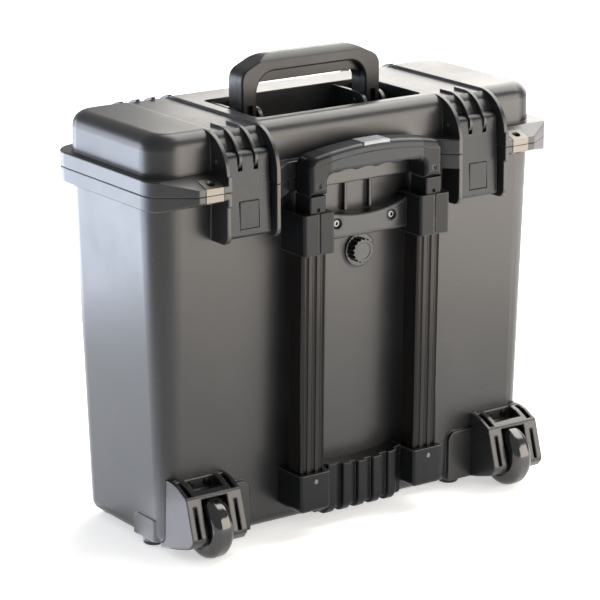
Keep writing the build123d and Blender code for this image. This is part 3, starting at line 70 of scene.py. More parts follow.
# materials: one entry per finish, lengths in millimetres. "grain" and "line" are the pitch of the fine grain
# and of the flow, draw or brush lines, "Deep" is their depth, "lineAxis" the axis that the lines follow, and
# "edge" the moulded or broken radius along each edge. "edgeHighlightAndWear" and "scuff" are how far the pale
# "worn" tone
# shows: along edges both as rubbed wear and as a painted edge highlight, and in scratches. A moulded skin's
# real grain is about 0.1 mm, and a brushed sheet's finer still: they are drawn several times as coarse, to
# show.
surfaces = {
    # polypropylene, injection moulded in a spark-eroded tool: satin, fine grain and slight flow streaks
    "tub_resin": {
        "name": "casePolypropylene", "colour": "#1d1e20", "wornAndHighlight": "#6b6b69", "rough": 0.33,
        "roughWorn": 0.26, "roughSwing": 0.05, "grain": 0.55, "grainDeep": 0.012, "line": 3.0,
        "lineLong": 120.0, "lineDeep": 0.010, "lineAxis": 2, "edge": 2.0, "edgeHighlightAndWear": 0.35, "scuff": 0.10,
        "IOR": 1.49,
    },
    "lid_resin": {
        "name": "lidPolypropylene", "colour": "#1e1f21", "wornAndHighlight": "#6d6d6b", "rough": 0.33,
        "roughWorn": 0.26, "roughSwing": 0.05, "grain": 0.55, "grainDeep": 0.012, "line": 3.0,
        "lineLong": 120.0, "lineDeep": 0.008, "lineAxis": 0, "edge": 1.3, "edgeHighlightAndWear": 0.35, "scuff": 0.10,
        "IOR": 1.49,
    },
    # glass-filled polymer of the latches and the valve, moulded in a finer tool than the case: cool and even,
    # with pale edges that are a painted edge highlight
    "latch_resin": {
        "name": "latchPolymer", "colour": "#15171a", "wornAndHighlight": "#7a7e81", "rough": 0.30, "roughWorn": 0.26,
        "roughSwing": 0.06, "grain": 0.4, "grainDeep": 0.008, "line": 2.0, "lineLong": 60.0,
        "lineDeep": 0.005, "lineAxis": 2, "edge": 1.2, "edgeHighlightAndWear": 0.85, "scuff": 0.10, "IOR": 1.35,
        "Specular Tint": (0.92, 0.96, 1.0, 1.0),
    },
    # moulded nylon of the carry handle: slightly waxy skin, rubbed smooth where the hand closes round it
    "handle_resin": {
        "name": "handleNylon", "colour": "#19191b", "wornAndHighlight": "#5b5c5e", "rough": 0.36, "roughWorn": 0.24,
        "roughSwing": 0.08, "grain": 0.5, "grainDeep": 0.010, "line": 2.5, "lineLong": 70.0,
        "lineDeep": 0.006, "lineAxis": 0, "edge": 1.2, "edgeHighlightAndWear": 0.4, "scuff": 0.12, "IOR": 1.40,
    },
    # moulded glass-filled nylon of the collars, brackets and plates round the rails: dull, with pale edges
    # that are a painted edge highlight
    "trolley_resin": {
        "name": "trolleyNylon", "colour": "#121315", "wornAndHighlight": "#727375", "rough": 0.32, "roughWorn": 0.28,
        "roughSwing": 0.06, "grain": 0.45, "grainDeep": 0.010, "line": 2.0, "lineLong": 60.0,
        "lineDeep": 0.006, "lineAxis": 2, "edge": 1.4, "edgeHighlightAndWear": 0.8, "scuff": 0.12, "IOR": 1.27,
        "Specular Tint": (0.94, 0.97, 1.0, 1.0),
    },
    # grip moulded in a paler grey nylon and polished by use
    "grip_resin": {
        "name": "gripNylon", "colour": "#1f2226", "wornAndHighlight": "#6d7073", "rough": 0.32, "roughWorn": 0.22,
        "roughSwing": 0.07, "grain": 0.4, "grainDeep": 0.008, "line": 2.0, "lineLong": 50.0,
        "lineDeep": 0.005, "lineAxis": 0, "edge": 1.2, "edgeHighlightAndWear": 0.5, "scuff": 0.2, "IOR": 1.32,
        "Specular Tint": (0.92, 0.96, 1.0, 1.0),
    },
    # extruded aluminium with a glossy black anodised skin: die lines run up the rail
    "rail_black": {
        "name": "blackAnodised", "colour": "#100e0d", "wornAndHighlight": "#5c5550", "rough": 0.20, "roughWorn": 0.30,
        "roughSwing": 0.06, "grain": 0.25, "grainDeep": 0.002, "line": 0.5, "lineLong": 160.0,
        "lineDeep": 0.006, "lineAxis": 2, "edge": 0.5, "edgeHighlightAndWear": 0.35, "scuff": 0.10, "IOR": 1.33,
    },
    # drawn aluminium tube, satin anodised: clear skin over long draw lines, rubbed by the collar
    "tube_silver": {
        "name": "satinTube", "colour": "#7f8184", "wornAndHighlight": "#a9abad", "rough": 0.34, "roughWorn": 0.18,
        "roughSwing": 0.05, "grain": 0.3, "grainDeep": 0.002, "line": 0.35, "lineLong": 200.0,
        "lineDeep": 0.005, "lineAxis": 2, "edge": 0.4, "edgeHighlightAndWear": 0.5, "scuff": 0.3, "Metallic": 1.0,
        "Anisotropic": 0.4,
    },
    # stainless sheet, brushed along the case with a fine belt and folded: short bright streaks
    "stainless": {
        "name": "brushedStainless", "colour": "#66635f", "wornAndHighlight": "#96938f", "rough": 0.44,
        "roughWorn": 0.15, "roughSwing": 0.08, "grain": 0.3, "grainDeep": 0.002, "line": 0.12,
        "lineLong": 9.0, "lineDeep": 0.004, "lineAxis": 0, "edge": 0.35, "edgeHighlightAndWear": 0.6, "scuff": 0.25,
        "Metallic": 1.0, "Anisotropic": 0.3,
    },
    # ground steel pins: bright, with fine marks along the grinding
    "steel_pin": {
        "name": "groundSteel", "colour": "#b9bbbe", "wornAndHighlight": "#dcdddf", "rough": 0.22, "roughWorn": 0.14,
        "roughSwing": 0.06, "grain": 0.2, "grainDeep": 0.002, "line": 0.2, "lineLong": 4.0,
        "lineDeep": 0.003, "lineAxis": 1, "edge": 0.3, "edgeHighlightAndWear": 0.4, "scuff": 0.2, "Metallic": 1.0,
    },
    # zinc plate on steel screws: bright with a faint mottled bloom
    "screw_steel": {
        "name": "zincPlate", "colour": "#606265", "wornAndHighlight": "#8e9093", "rough": 0.26, "roughWorn": 0.16,
        "roughSwing": 0.10, "grain": 0.5, "grainDeep": 0.004, "line": 0.3, "lineLong": 2.0,
        "lineDeep": 0.003, "lineAxis": 1, "edge": 0.3, "edgeHighlightAndWear": 0.6, "scuff": 0.2, "Metallic": 1.0,
    },
    # black oxide on steel screws: dark, burnished at the driver's socket
    "screw_black": {
        "name": "blackOxide", "colour": "#2a2a2c", "wornAndHighlight": "#77777a", "rough": 0.32, "roughWorn": 0.2,
        "roughSwing": 0.08, "grain": 0.4, "grainDeep": 0.003, "line": 0.3, "lineLong": 2.0,
        "lineDeep": 0.002, "lineAxis": 1, "edge": 0.25, "edgeHighlightAndWear": 0.7, "scuff": 0.2, "Metallic": 1.0,
    },
    # cold-rolled spring strip: blue-grey, with fine rolling lines along it
    "spring_steel": {
        "name": "springStrip", "colour": "#8b9096", "wornAndHighlight": "#c2c5c9", "rough": 0.3, "roughWorn": 0.2,
        "roughSwing": 0.06, "grain": 0.3, "grainDeep": 0.002, "line": 0.2, "lineLong": 12.0,
        "lineDeep": 0.003, "lineAxis": 0, "edge": 0.2, "edgeHighlightAndWear": 0.5, "scuff": 0.2, "Metallic": 1.0,
    },
    # cast polyurethane tyre: glossy from the mould, dulled where it has rolled
    "tyre_black": {
        "name": "castPolyurethane", "colour": "#0d0d0e", "wornAndHighlight": "#2b2b2b", "rough": 0.15, "roughWorn": 0.4,
        "roughSwing": 0.06, "grain": 0.8, "grainDeep": 0.006, "line": 0.7, "lineLong": 30.0,
        "lineDeep": 0.003, "lineAxis": 1, "edge": 0.6, "edgeHighlightAndWear": 0.2, "scuff": 0.15, "IOR": 1.68,
    },
    # moulded nylon of the wheel hubs: plain satin
    "hub_resin": {
        "name": "hubNylon", "colour": "#19191b", "wornAndHighlight": "#454547", "rough": 0.34, "roughWorn": 0.28,
        "roughSwing": 0.06, "grain": 0.4, "grainDeep": 0.008, "line": 1.5, "lineLong": 10.0,
        "lineDeep": 0.004, "lineAxis": 1, "edge": 0.5, "edgeHighlightAndWear": 0.5, "scuff": 0.1, "IOR": 1.53,
    },
    # extruded sealing rubber: matt, with a dull bloom
    "seal_rubber": {
        "name": "sealRubber", "colour": "#121213", "wornAndHighlight": "#303031", "rough": 0.62, "roughWorn": 0.5,
        "roughSwing": 0.08, "grain": 0.3, "grainDeep": 0.012, "line": 0.6, "lineLong": 40.0,
        "lineDeep": 0.006, "lineAxis": 0, "edge": 0.3, "edgeHighlightAndWear": 0.3, "scuff": 0.1, "IOR": 1.52,
    },
    # closed-cell polyethylene foam, skived: small open cells across the cut face
    "foam": {
        "name": "closedCellFoam", "colour": "#26272a", "wornAndHighlight": "#3d3f43", "rough": 0.88, "roughWorn": 0.8,
        "roughSwing": 0.06, "grain": 1.1, "grainDeep": 0.25, "line": 6.0, "lineLong": 40.0,
        "lineDeep": 0.06, "lineAxis": 0, "edge": 1.5, "edgeHighlightAndWear": 0.5, "scuff": 0.3, "IOR": 1.5,
        "cells": True,
    },
}
# nodes whose moulding differs from the rest of their slot
variants = {
    # thick plate and housings with generous moulded radii along every edge
    "cross_plate": {"slot": "trolley_resin", "name": "plateNylon", "colour": "#1b1d20", "edge": 4.5,
                    "IOR": 1.46},
    "wheel_housing": {"slot": "tub_resin", "name": "housingPolypropylene", "edge": 2.6, "rough": 0.28},
    # valve moulded in a mirror-polished tool: glossy
    "valve": {"slot": "latch_resin", "name": "polishedPolymer", "colour": "#0b0b0c", "rough": 0.14,
              "edge": 1.2, "IOR": 1.50, "edgeHighlightAndWear": 0.5},
    # the release button is coloured pale grey as a painted reflection of the light on its top, not as a paler
    # moulding
    "release_button": {"slot": "grip_resin", "name": "buttonPaintedReflection", "colour": "#83878b", "wornAndHighlight": "#b5b8ba",
                       "rough": 0.26, "edge": 1.0, "IOR": 1.50},
}
# how wear, the painted edge highlight and tone are spread on every finish; the scales are cycles per metre
wearHighlightAndTone = {
    "cloudScale": 13.0, "cloudFrom": 0.3, "cloudTo": 0.7,  # patches of about 75 mm
    "toneLow": 0.86, "toneHigh": 1.16,
    "bendFrom": 0.99, "bendFull": 0.85,  # cosine between the rounded and the flat normal
    "patchFrom": 0.38, "patchFull": 0.60, "patchLeast": 0.25,
    "scratchScale": (35.0, 260.0, 220.0), "scratchTurn": (0.4, 0.3, 0.5),
    "scratchFrom": 0.66, "scratchFull": 0.80,
    "bevelSamples": 6,
}


def spread(tree, source, start, full, low=0.0, high=1.0):
    # maps the stretch of a pattern from start to full onto low to high
    limits = {"From Min": start, "From Max": full, "To Min": low, "To Max": high}
    return addNode(tree, "ShaderNodeMapRange", limits, {"Value": source}).outputs[0]


def addGrain(tree, spec, place):
    # fine grain of the surface: cut cells in foam, noise elsewhere
    scale = 1000 / spec["grain"]
    if spec.get("cells"):
        return addNode(tree, "ShaderNodeTexVoronoi", {"Scale": scale}, {"Vector": place}).outputs["Distance"]
    grain = addNode(tree, "ShaderNodeTexNoise", {"Scale": scale, "Detail": 2.0}, {"Vector": place})
    return grain.outputs["Fac"]


def addLines(tree, spec, place):
    # drawn, brushed or flow lines along one axis
    across, along = 1000 / spec["line"], 1000 / spec["lineLong"]
    scale = [along if k == spec["lineAxis"] else across for k in range(3)]
    stretch = addNode(tree, "ShaderNodeMapping", {"Scale": scale}, {"Vector": place}).outputs[0]
    lines = addNode(tree, "ShaderNodeTexNoise", {"Scale": 1.0, "Detail": 2.0}, {"Vector": stretch})
    return lines.outputs["Fac"]


def addWearAndHighlight(tree, spec, place, rounded, cloud):
    # rubbed edges in patches, which also carry a painted edge highlight, and a few long scuffs
    flat = addNode(tree, "ShaderNodeNewGeometry").outputs["Normal"]
    bend = addNode(tree, "ShaderNodeVectorMath", {"operation": "DOT_PRODUCT"}, {0: rounded, 1: flat})
    edge = spread(tree, bend.outputs["Value"], wearHighlightAndTone["bendFrom"], wearHighlightAndTone["bendFull"], high=spec["edgeHighlightAndWear"])
    patchy = spread(tree, cloud, wearHighlightAndTone["patchFrom"], wearHighlightAndTone["patchFull"], low=wearHighlightAndTone["patchLeast"])
    rubbedAndHighlit = addNode(tree, "ShaderNodeMath", {"operation": "MULTIPLY"}, {0: edge, 1: patchy}).outputs[0]
    turned = addNode(tree, "ShaderNodeMapping",
                     {"Scale": wearHighlightAndTone["scratchScale"], "Rotation": wearHighlightAndTone["scratchTurn"]}, {"Vector": place})
    scratch = addNode(tree, "ShaderNodeTexNoise", {"Scale": 1.0, "Detail": 3.0},
                      {"Vector": turned.outputs[0]})
    scuffed = spread(tree, scratch.outputs["Fac"], wearHighlightAndTone["scratchFrom"], wearHighlightAndTone["scratchFull"],
                     high=spec["scuff"])
    return addNode(tree, "ShaderNodeMath", {"operation": "MAXIMUM"}, {0: rubbedAndHighlit, 1: scuffed}).outputs[0]


def makeSurface(spec):
    material = bpy.data.materials.new(spec["name"])
    material.use_nodes = True
    tree = material.node_tree
    tree.nodes.clear()
    place = addNode(tree, "ShaderNodeTexCoord").outputs["Object"]
    rounded = addNode(tree, "ShaderNodeBevel",
                      {"Radius": spec["edge"] / 1000, "samples": wearHighlightAndTone["bevelSamples"]}).outputs[0]
    cloud = addNode(tree, "ShaderNodeTexNoise",
                    {"Scale": wearHighlightAndTone["cloudScale"], "Detail": 5.0, "Roughness": 0.6}, {"Vector": place})
    cloud = cloud.outputs["Fac"]
    wornAndHighlight = addWearAndHighlight(tree, spec, place, rounded, cloud)
    # colour: the moulded or plated tone, paler where it is rubbed and paler along edges as a painted
    # highlight
    base = addNode(tree, "ShaderNodeMix", {"data_type": "RGBA"}, {"Factor": wornAndHighlight})
    base.inputs["A"].default_value = linear(spec["colour"])
    base.inputs["B"].default_value = linear(spec["wornAndHighlight"])
    tone = spread(tree, cloud, wearHighlightAndTone["cloudFrom"], wearHighlightAndTone["cloudTo"], wearHighlightAndTone["toneLow"], wearHighlightAndTone["toneHigh"])
    shade = addNode(tree, "ShaderNodeHueSaturation", {}, {"Color": base.outputs["Result"], "Value": tone})
    # gloss: swings slowly over the skin, and is its own on rubbed skin and along the painted edge highlight
    swing = spread(tree, cloud, wearHighlightAndTone["cloudFrom"], wearHighlightAndTone["cloudTo"],
                   spec["rough"] - spec["roughSwing"], spec["rough"] + spec["roughSwing"])
    rough = addNode(tree, "ShaderNodeMix", {"data_type": "FLOAT"}, {"Factor": wornAndHighlight, "A": swing})
    rough.inputs["B"].default_value = spec["roughWorn"]
    fine = addNode(tree, "ShaderNodeBump", {"Distance": spec["grainDeep"] / 1000},
                   {"Height": addGrain(tree, spec, place), "Normal": rounded})
    full = addNode(tree, "ShaderNodeBump", {"Distance": spec["lineDeep"] / 1000},
                   {"Height": addLines(tree, spec, place), "Normal": fine.outputs[0]})
    constants = {k: spec[k] for k in ("Metallic", "IOR", "Anisotropic", "Specular Tint") if k in spec}
    shader = addNode(tree, "ShaderNodeBsdfPrincipled", constants,
                     {"Base Color": shade.outputs[0], "Roughness": rough.outputs["Result"],
                      "Normal": full.outputs[0]})
    addNode(tree, "ShaderNodeOutputMaterial", {}, {"Surface": shader.outputs[0]})
    return material


finishes = {slot: makeSurface(spec) for slot, spec in surfaces.items()}
special = {start: makeSurface({**surfaces[spec["slot"]], **spec}) for start, spec in variants.items()}
slotOf = {s["node"]: s["material_slot"] for s in frame["record"]["subparts"]}


def surfaceFor(node):
    for start, spec in variants.items():
        if node.startswith(start) and slotOf[node] == spec["slot"]:
            return special[start]
    return finishes[slotOf[node]]


for name, obj in nodes.items():
    obj.data.materials.clear()
    obj.data.materials.append(surfaceFor(name))
print("materials done")


def addPiece(name, bm, body, slot):
    # turns a bmesh into a smooth piece that rides on a body with one of the record's finishes
    mesh = bpy.data.meshes.new(name)
    bmesh.ops.recalc_face_normals(bm, faces=bm.faces)
    bm.to_mesh(mesh)
    bm.free()
    for face in mesh.polygons:
        face.use_smooth = True
    obj = bpy.data.objects.new(name, mesh)
    bpy.context.scene.collection.objects.link(obj)
    obj.data.materials.append(finishes[slot])
    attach(obj, body)
    return obj


def loftRings(bm, rings, closed):
    # quads between rings of equal length
    made = [[bm.verts.new(p) for p in ring] for ring in rings]
    for a, b in zip(made, made[1:] + (made[:1] if closed else [])):
        for i in range(len(a)):
            j = (i + 1) % len(a)
            bm.faces.new((a[i], a[j], b[j], b[i]))
    return made


def carve(obj, cutters, facets=40):
    # cuts round holes given as (centre, axis, radius, half length) out of a piece
    bm = bmesh.new()
    for centre, axis, radius, half in cutters:
        turn = Vector((0, 0, 1)).rotation_difference(Vector(axis)).to_matrix().to_4x4()
        bmesh.ops.create_cone(bm, cap_ends=True, segments=facets, radius1=radius, radius2=radius,
                              depth=2 * half, matrix=Matrix.Translation(centre) @ turn)
    mesh = bpy.data.meshes.new("cutter")
    bm.to_mesh(mesh)
    bm.free()
    cutter = bpy.data.objects.new("cutter", mesh)
    bpy.context.scene.collection.objects.link(cutter)
    cut = obj.modifiers.new("cut", "BOOLEAN")
    cut.operation, cut.object, cut.solver = "DIFFERENCE", cutter, "EXACT"
    shape = bpy.data.meshes.new_from_object(obj.evaluated_get(bpy.context.evaluated_depsgraph_get()))
    obj.modifiers.clear()
    obj.data = shape
    bpy.data.objects.remove(cutter)


def middle(node):
    low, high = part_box(node)
    return (Vector(low) + Vector(high)) / 2


# foam lining of the tub: a strip glued round the walls, with joints between its planks, on a floor plank.
# Lengths in metres; "joints" are fractions of the long and the short walls.
lining = {
    "draft": math.tan(math.radians(1.88)), "corner": 0.0236, "leastCorner": 0.002,
    "clear": 0.0003, "thick": 0.0097, "round": 0.0032,
    "wallRows": 9, "cornerSteps": 8, "sideSteps": 12,
    "joints": ((0.25, 0.75), (0.5,)), "jointDeep": 0.0014, "jointHalf": 0.0011, "jointClear": 0.02,
    "crown": 0.0011, "crownScale": 14.0,
    "wheelWell": 0.0378, "wheelHalf": 0.0196, "valveHole": 0.0199, "valveHalf": 0.03,
}


def ringPoints(halfX, halfY, radius):
    # points round a rounded rectangle, three close together at each joint; the flag marks the middle one
    centres = [(halfX - radius, halfY - radius), (radius - halfX, halfY - radius),
               (radius - halfX, radius - halfY), (halfX - radius, radius - halfY)]
    turns, sides = lining["cornerSteps"], lining["sideSteps"]
    points = []
    for k, (cx, cy) in enumerate(centres):
        for j in range(turns + 1):
            angle = math.pi / 2 * (k + j / turns)
            points.append((cx + radius * math.cos(angle), cy + radius * math.sin(angle), 0))
        ahead = centres[(k + 1) % 4]
        start = Vector(points[-1][:2])
        angle = math.pi / 2 * (k + 1)
        end = Vector((ahead[0] + radius * math.cos(angle), ahead[1] + radius * math.sin(angle)))
        groove = lining["jointHalf"] / (end - start).length
        steps = [(n / sides, 0) for n in range(1, sides)]
        for joint in lining["joints"][k % 2]:
            steps = [step for step in steps if abs(step[0] - joint) > lining["jointClear"]]
            steps += [(joint - groove, 0), (joint, 1), (joint + groove, 0)]
        points += [(*start.lerp(end, t), flag) for t, flag in sorted(steps)]
    return points


def liningRing(low, high, inset, z, grooved):
    # ring of the lining at one inset and height; on a grooved ring the joints sink and the planks swell
    lean = (high[2] - z) * lining["draft"]
    halfX, halfY = (high[0] - low[0]) / 2 - lean - inset, (high[1] - low[1]) / 2 - lean - inset
    centre = ((low[0] + high[0]) / 2, (low[1] + high[1]) / 2)
    radius = max(lining["corner"] - lean - inset, lining["leastCorner"])
    ring = []
    for x, y, flag in ringPoints(halfX, halfY, radius):
        puff = lining["crown"] * noise.noise(Vector((x, y, z)) * lining["crownScale"]) * grooved
        sink = (lining["jointDeep"] if flag else 0.0) * grooved - puff
        ring.append((centre[0] + x * (1 + sink / halfX), centre[1] + y * (1 + sink / halfY), z))
    return ring


def wheelWells():
    # the foam is cut round the wheel housings at both lower front corners
    return [(middle("wheel_axle_" + side), (1, 0, 0), lining["wheelWell"], lining["wheelHalf"])
            for side in ("left", "right")]


def makeWalls():
    low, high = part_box("tub_liner")
    clear, edge, rows = lining["clear"], lining["round"], lining["wallRows"]
    foot, top = low[2] + plank["thick"] + clear, high[2]
    inner = clear + lining["thick"]
    profile = [(clear, foot, 0), (clear, (foot + top) / 2, 0), (clear, top - edge, 0),
               (clear + edge / 3, top - edge / 4, 0), (clear + edge, top, 0),
               (inner - edge, top, 0), (inner - edge / 3, top - edge / 4, 0)]
    profile += [(inner, top - edge - (top - edge - foot) * n / rows, 1) for n in range(rows + 1)]
    bm = bmesh.new()
    loftRings(bm, [liningRing(low, high, *place) for place in profile], True)
    walls = addPiece("foamWalls", bm, "tub", "foam")
    valve = (middle("valve_nut"), (0, 1, 0), lining["valveHole"], lining["valveHalf"])
    carve(walls, wheelWells() + [valve])
    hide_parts("tub_liner")


# floor plank, rounded under like the tub and broken along its upper edge
plank = {"thick": 0.0137, "under": 0.0075, "underTurns": (0.0, 0.4, 0.8, 1.2, math.pi / 2), "lift": 0.0002,
         "rim": 0.002, "bevel": 0.0006}


def makeFloor():
    low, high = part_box("tub_liner")
    clear, under, top = lining["clear"], plank["under"], low[2] + plank["thick"]
    profile = [(clear + under * (1 - math.sin(a)), low[2] + plank["lift"] + under * (1 - math.cos(a)))
               for a in plank["underTurns"]]
    profile += [(clear, top - plank["rim"]), (clear + plank["bevel"], top - plank["bevel"]),
                (clear + plank["rim"], top)]
    bm = bmesh.new()
    made = loftRings(bm, [liningRing(low, high, inset, z, 0) for inset, z in profile], False)
    for ring in (made[0], made[-1]):
        bm.faces.new(ring)
    floor = addPiece("foamFloor", bm, "tub", "foam")
    carve(floor, wheelWells())
    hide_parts("tub_liner")


# convoluted foam under the lid: rows of rounded peaks that fade towards the rim, flat on the glued side
lidFoam = {
    "pitch": 0.0245, "corner": 0.0234, "peak": 0.0088, "columns": 180, "rows": 66, "inset": 0.0004,
    "lift": 0.0008, "glue": 0.0002, "rim": 0.006, "rimLift": 0.003, "rimPeak": 0.4, "narrow": 0.0005,
    "wobble": 0.0006, "wobbleScale": 60.0,
}


def foamReach(y, halfX, halfY):
    # half the pad's width at one row, where its rounded corners draw in
    radius = lidFoam["corner"]
    over = max(abs(y) - (halfY - radius), 0.0)
    reach = halfX - radius + math.sqrt(max(radius ** 2 - over ** 2, 0.0)) if over else halfX
    return max(reach, halfX - radius + lidFoam["narrow"])


def foamHeight(x, y, margin):
    # height of the convoluted face above the pad's lowest point
    turn, rimPeak = 2 * math.pi / lidFoam["pitch"], lidFoam["rimPeak"]
    wave = 0.5 + 0.5 * math.cos(turn * x) * math.cos(turn * y)
    peak = lidFoam["peak"] * (1 - wave) * (rimPeak + (1 - rimPeak) * margin)
    wobble = lidFoam["wobble"] * noise.noise(Vector((x, y, 0.0)) * lidFoam["wobbleScale"])
    return lidFoam["lift"] + peak + wobble + lidFoam["rimLift"] * (1 - margin) ** 2


def makeLidFoam():
    low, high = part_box("lid_pad")
    halfX, halfY = [(high[k] - low[k]) / 2 - lidFoam["inset"] for k in (0, 1)]
    cx, cy = (high[0] + low[0]) / 2, (high[1] + low[1]) / 2
    rows, columns = lidFoam["rows"], lidFoam["columns"]
    bm = bmesh.new()
    under, upper = [], []
    for r in range(rows + 1):
        y = halfY * (2 * r / rows - 1)
        reach = foamReach(y, halfX, halfY)
        rowUnder, rowUpper = [], []
        for c in range(columns + 1):
            x = reach * (2 * c / columns - 1)
            margin = min(min(halfY - abs(y), reach - abs(x)) / lidFoam["rim"], 1.0)
            rowUnder.append(bm.verts.new((cx + x, cy + y, low[2] + foamHeight(x, y, margin))))
            rowUpper.append(bm.verts.new((cx + x, cy + y, high[2] - lidFoam["glue"])))
        under.append(rowUnder)
        upper.append(rowUpper)
    for r in range(rows):
        for c in range(columns):
            bm.faces.new((under[r][c], under[r + 1][c], under[r + 1][c + 1], under[r][c + 1]))
            bm.faces.new((upper[r][c], upper[r][c + 1], upper[r + 1][c + 1], upper[r + 1][c]))
    border = [(0, c) for c in range(columns)] + [(r, columns) for r in range(rows)]
    border += [(rows, c) for c in range(columns, 0, -1)] + [(r, 0) for r in range(rows, 0, -1)]
    for (r0, c0), (r1, c1) in zip(border, border[1:] + border[:1]):
        bm.faces.new((under[r0][c0], under[r1][c1], upper[r1][c1], upper[r0][c0]))
    pad = addPiece("foamEggCrate", bm, "lid", "foam")
    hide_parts("lid_pad")


makeWalls()
makeFloor()
makeLidFoam()
print("foam done")

# two finger ridges moulded on each latch button, as rounded bars.
# The crown's rings are pairs: share of the bar's height, and share of its relief.
ridges = {
    "width": 0.0085, "height": 0.0016, "proud": 0.0004, "sunk": 0.0006, "crown": ((0.82, 0.8), (0.55, 1.0)),
    "offsets": (0.0052, 0.0004), "facets": 28,
    "lean": 0.0424, "faceTop": 0.0016, "faceBack": 0.0011,  # slope of the button's face, and where it starts
}


def makeButtonRidges(side):
    low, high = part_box("latch_button_" + side)
    centreX, centreZ = (low[0] + high[0]) / 2, (low[2] + high[2]) / 2
    rows = [(1.0, -ridges["sunk"]), (1.0, 0.0)]
    rows += [(share, ridges["proud"] * relief) for share, relief in ridges["crown"]]
    straight, tip = (ridges["width"] - ridges["height"]) / 2, ridges["height"] / 2
    bm = bmesh.new()
    for offset in ridges["offsets"]:
        rings = []
        for share, proud in rows:
            ring = []
            for k in range(ridges["facets"]):
                angle = 2 * math.pi * k / ridges["facets"]
                x = straight * (1 if math.cos(angle) > 0 else -1) + tip * share * math.cos(angle)
                z = centreZ + offset + tip * share * math.sin(angle)
                face = low[1] + ridges["faceBack"] - (high[2] - ridges["faceTop"] - z) * ridges["lean"]
                ring.append((centreX + x, face - proud, z))
            rings.append(ring)
        made = loftRings(bm, rings, False)
        bm.faces.new(made[-1])
    addPiece("buttonRidges_" + side, bm, "latch_" + side + "_press", "latch_resin")


for side in ("left", "right"):
    makeButtonRidges(side)
print("details done")

# studio: pale floor, the viewing angle, and soft panels and floor patches that the camera doesn't see
studio = {
    "azimuth": -34.557, "elevation": 15.911, "roll": -0.258,
    "target": (-0.06698, -0.07675, 0.23318), "distance": 2.68918, "lens": 168.75, "sensor": 36.0,
    "floorColour": "#f4f4f3", "floorGlow": 0.50, "floorRough": (0.6, 0.8), "floorReach": 7.0, "world": 0.47,
    "patchTurn": 34.6, "patchHeight": 0.004,
}
# a light with an aim is a panel in the air, and one without lies on the floor, square to the view
panels = {
    # behind and to the right, low: mirrored by the lid's top
    "rearPanel": {"place": (1.67, 1.17, 0.85), "aim": (0.0, 0.0, 0.40), "size": (2.0, 1.1), "radiance": 3.7,
                  "colour": "#fffaf3"},
    # hot cool patch of floor behind and to the left, and weaker ones nearer: mirrored by the left wall
    "leftFar": {"place": (-0.995, 1.135), "size": (1.7, 1.3), "radiance": 8.0, "colour": "#e0ebff"},
    "leftNear": {"place": (-0.395, 0.26), "size": (0.9, 0.5), "radiance": 0.9, "colour": "#dfeaff"},
    "leftFoot": {"place": (-0.29, -0.03), "size": (0.14, 0.14), "radiance": 3.0, "colour": "#f0f1ff"},
    # low behind the left patches: mirrored by the foot of the lid's left rounding
    "leftPanel": {"place": (-1.45, 2.05, 0.45), "aim": (0.0, 0.0, 0.40), "size": (2.2, 0.95), "radiance": 5.0,
                  "colour": "#e6eeff"},
    # warm patches of floor ahead and to the right, and a panel beyond them: mirrored by the front walls
    "frontNear": {"place": (0.585, -0.935), "size": (2.2, 0.74), "radiance": 2.6, "colour": "#fff1e2"},
    "frontFar": {"place": (1.02, -1.55), "size": (2.4, 0.78), "radiance": 4.4, "colour": "#fff3e6"},
    "frontPanel": {"place": (1.15, -1.75, 0.60), "aim": (0.1, 0.0, 0.60), "size": (2.0, 1.2), "radiance": 6.0,
                   "colour": "#fff3e6"},
    # overhead to the right: mirrored by the rounded edges between the top and the front, and by sloping tops
    "topPanel": {"place": (1.0, 0.15, 1.75), "aim": (0.0, 0.0, 0.35), "size": (1.9, 1.4), "radiance": 6.0,
                 "colour": "#fffcf6"},
}


def placeCamera():
    az, el, roll = (math.radians(studio[k]) for k in ("azimuth", "elevation", "roll"))
    back = Vector((math.sin(az) * math.cos(el), -math.cos(az) * math.cos(el), math.sin(el)))
    level = Vector((math.cos(az), math.sin(az), 0.0))
    above = back.cross(level)
    right = level * math.cos(roll) + above * math.sin(roll)
    up = above * math.cos(roll) - level * math.sin(roll)
    data = bpy.data.cameras.new("studioCamera")
    data.lens = studio["lens"]
    data.sensor_width = studio["sensor"]
    camera = bpy.data.objects.new("studioCamera", data)
    bpy.context.scene.collection.objects.link(camera)
    turn = Matrix((right, up, back)).transposed().to_4x4()
    camera.matrix_world = Matrix.Translation(Vector(studio["target"]) + back * studio["distance"]) @ turn
    bpy.context.scene.camera = camera


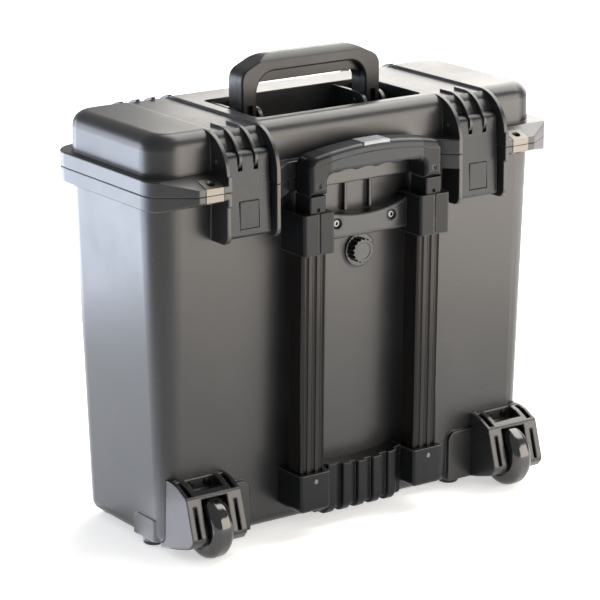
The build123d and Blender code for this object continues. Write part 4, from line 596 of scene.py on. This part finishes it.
def placePanel(name, spec):
    data = bpy.data.lights.new(name, "AREA")
    data.shape = "RECTANGLE"
    data.size, data.size_y = spec["size"]
    data.energy = spec["radiance"] * math.pi * data.size * data.size_y
    data.color = linear(spec["colour"])[:3]
    light = bpy.data.objects.new(name, data)
    bpy.context.scene.collection.objects.link(light)
    if "aim" in spec:
        light.location = spec["place"]
        light.rotation_euler = (Vector(spec["aim"]) - light.location).to_track_quat("-Z", "Y").to_euler()
    else:
        light.location = (*spec["place"], studio["patchHeight"])
        light.rotation_euler = (math.pi, 0.0, math.radians(studio["patchTurn"]))
    light.visible_camera = False


def layFloor():
    mesh = bpy.data.meshes.new("studioFloor")
    reach = studio["floorReach"]
    mesh.from_pydata([(-reach, -reach, 0), (reach, -reach, 0), (reach, reach, 0), (-reach, reach, 0)], [],
                     [(0, 1, 2, 3)])
    floor = bpy.data.objects.new("studioFloor", mesh)
    bpy.context.scene.collection.objects.link(floor)
    # painted board lit from within, so that the shadow on it stays pale
    material = bpy.data.materials.new("paintedBoard")
    material.use_nodes = True
    tree = material.node_tree
    tree.nodes.clear()
    place = addNode(tree, "ShaderNodeTexCoord").outputs["Object"]
    mottle = addNode(tree, "ShaderNodeTexNoise", {"Scale": 6.0, "Detail": 4.0}, {"Vector": place})
    rough = spread(tree, mottle.outputs["Fac"], 0.0, 1.0, *studio["floorRough"])
    shader = addNode(tree, "ShaderNodeBsdfPrincipled",
                     {"Base Color": linear(studio["floorColour"]), "Emission Color": (1, 1, 1, 1),
                      "Emission Strength": studio["floorGlow"]}, {"Roughness": rough})
    addNode(tree, "ShaderNodeOutputMaterial", {}, {"Surface": shader.outputs[0]})
    floor.data.materials.append(material)


def lightWorld():
    # even white surround, which fills the shadows
    world = bpy.data.worlds.new("studioWorld")
    bpy.context.scene.world = world
    world.use_nodes = True
    surround = world.node_tree.nodes["Background"]
    surround.inputs["Color"].default_value = (1, 1, 1, 1)
    surround.inputs["Strength"].default_value = studio["world"]


placeCamera()
layFloor()
lightWorld()
for name, spec in panels.items():
    placePanel(name, spec)
bpy.context.scene.view_settings.view_transform = "Standard"
print("studio done")
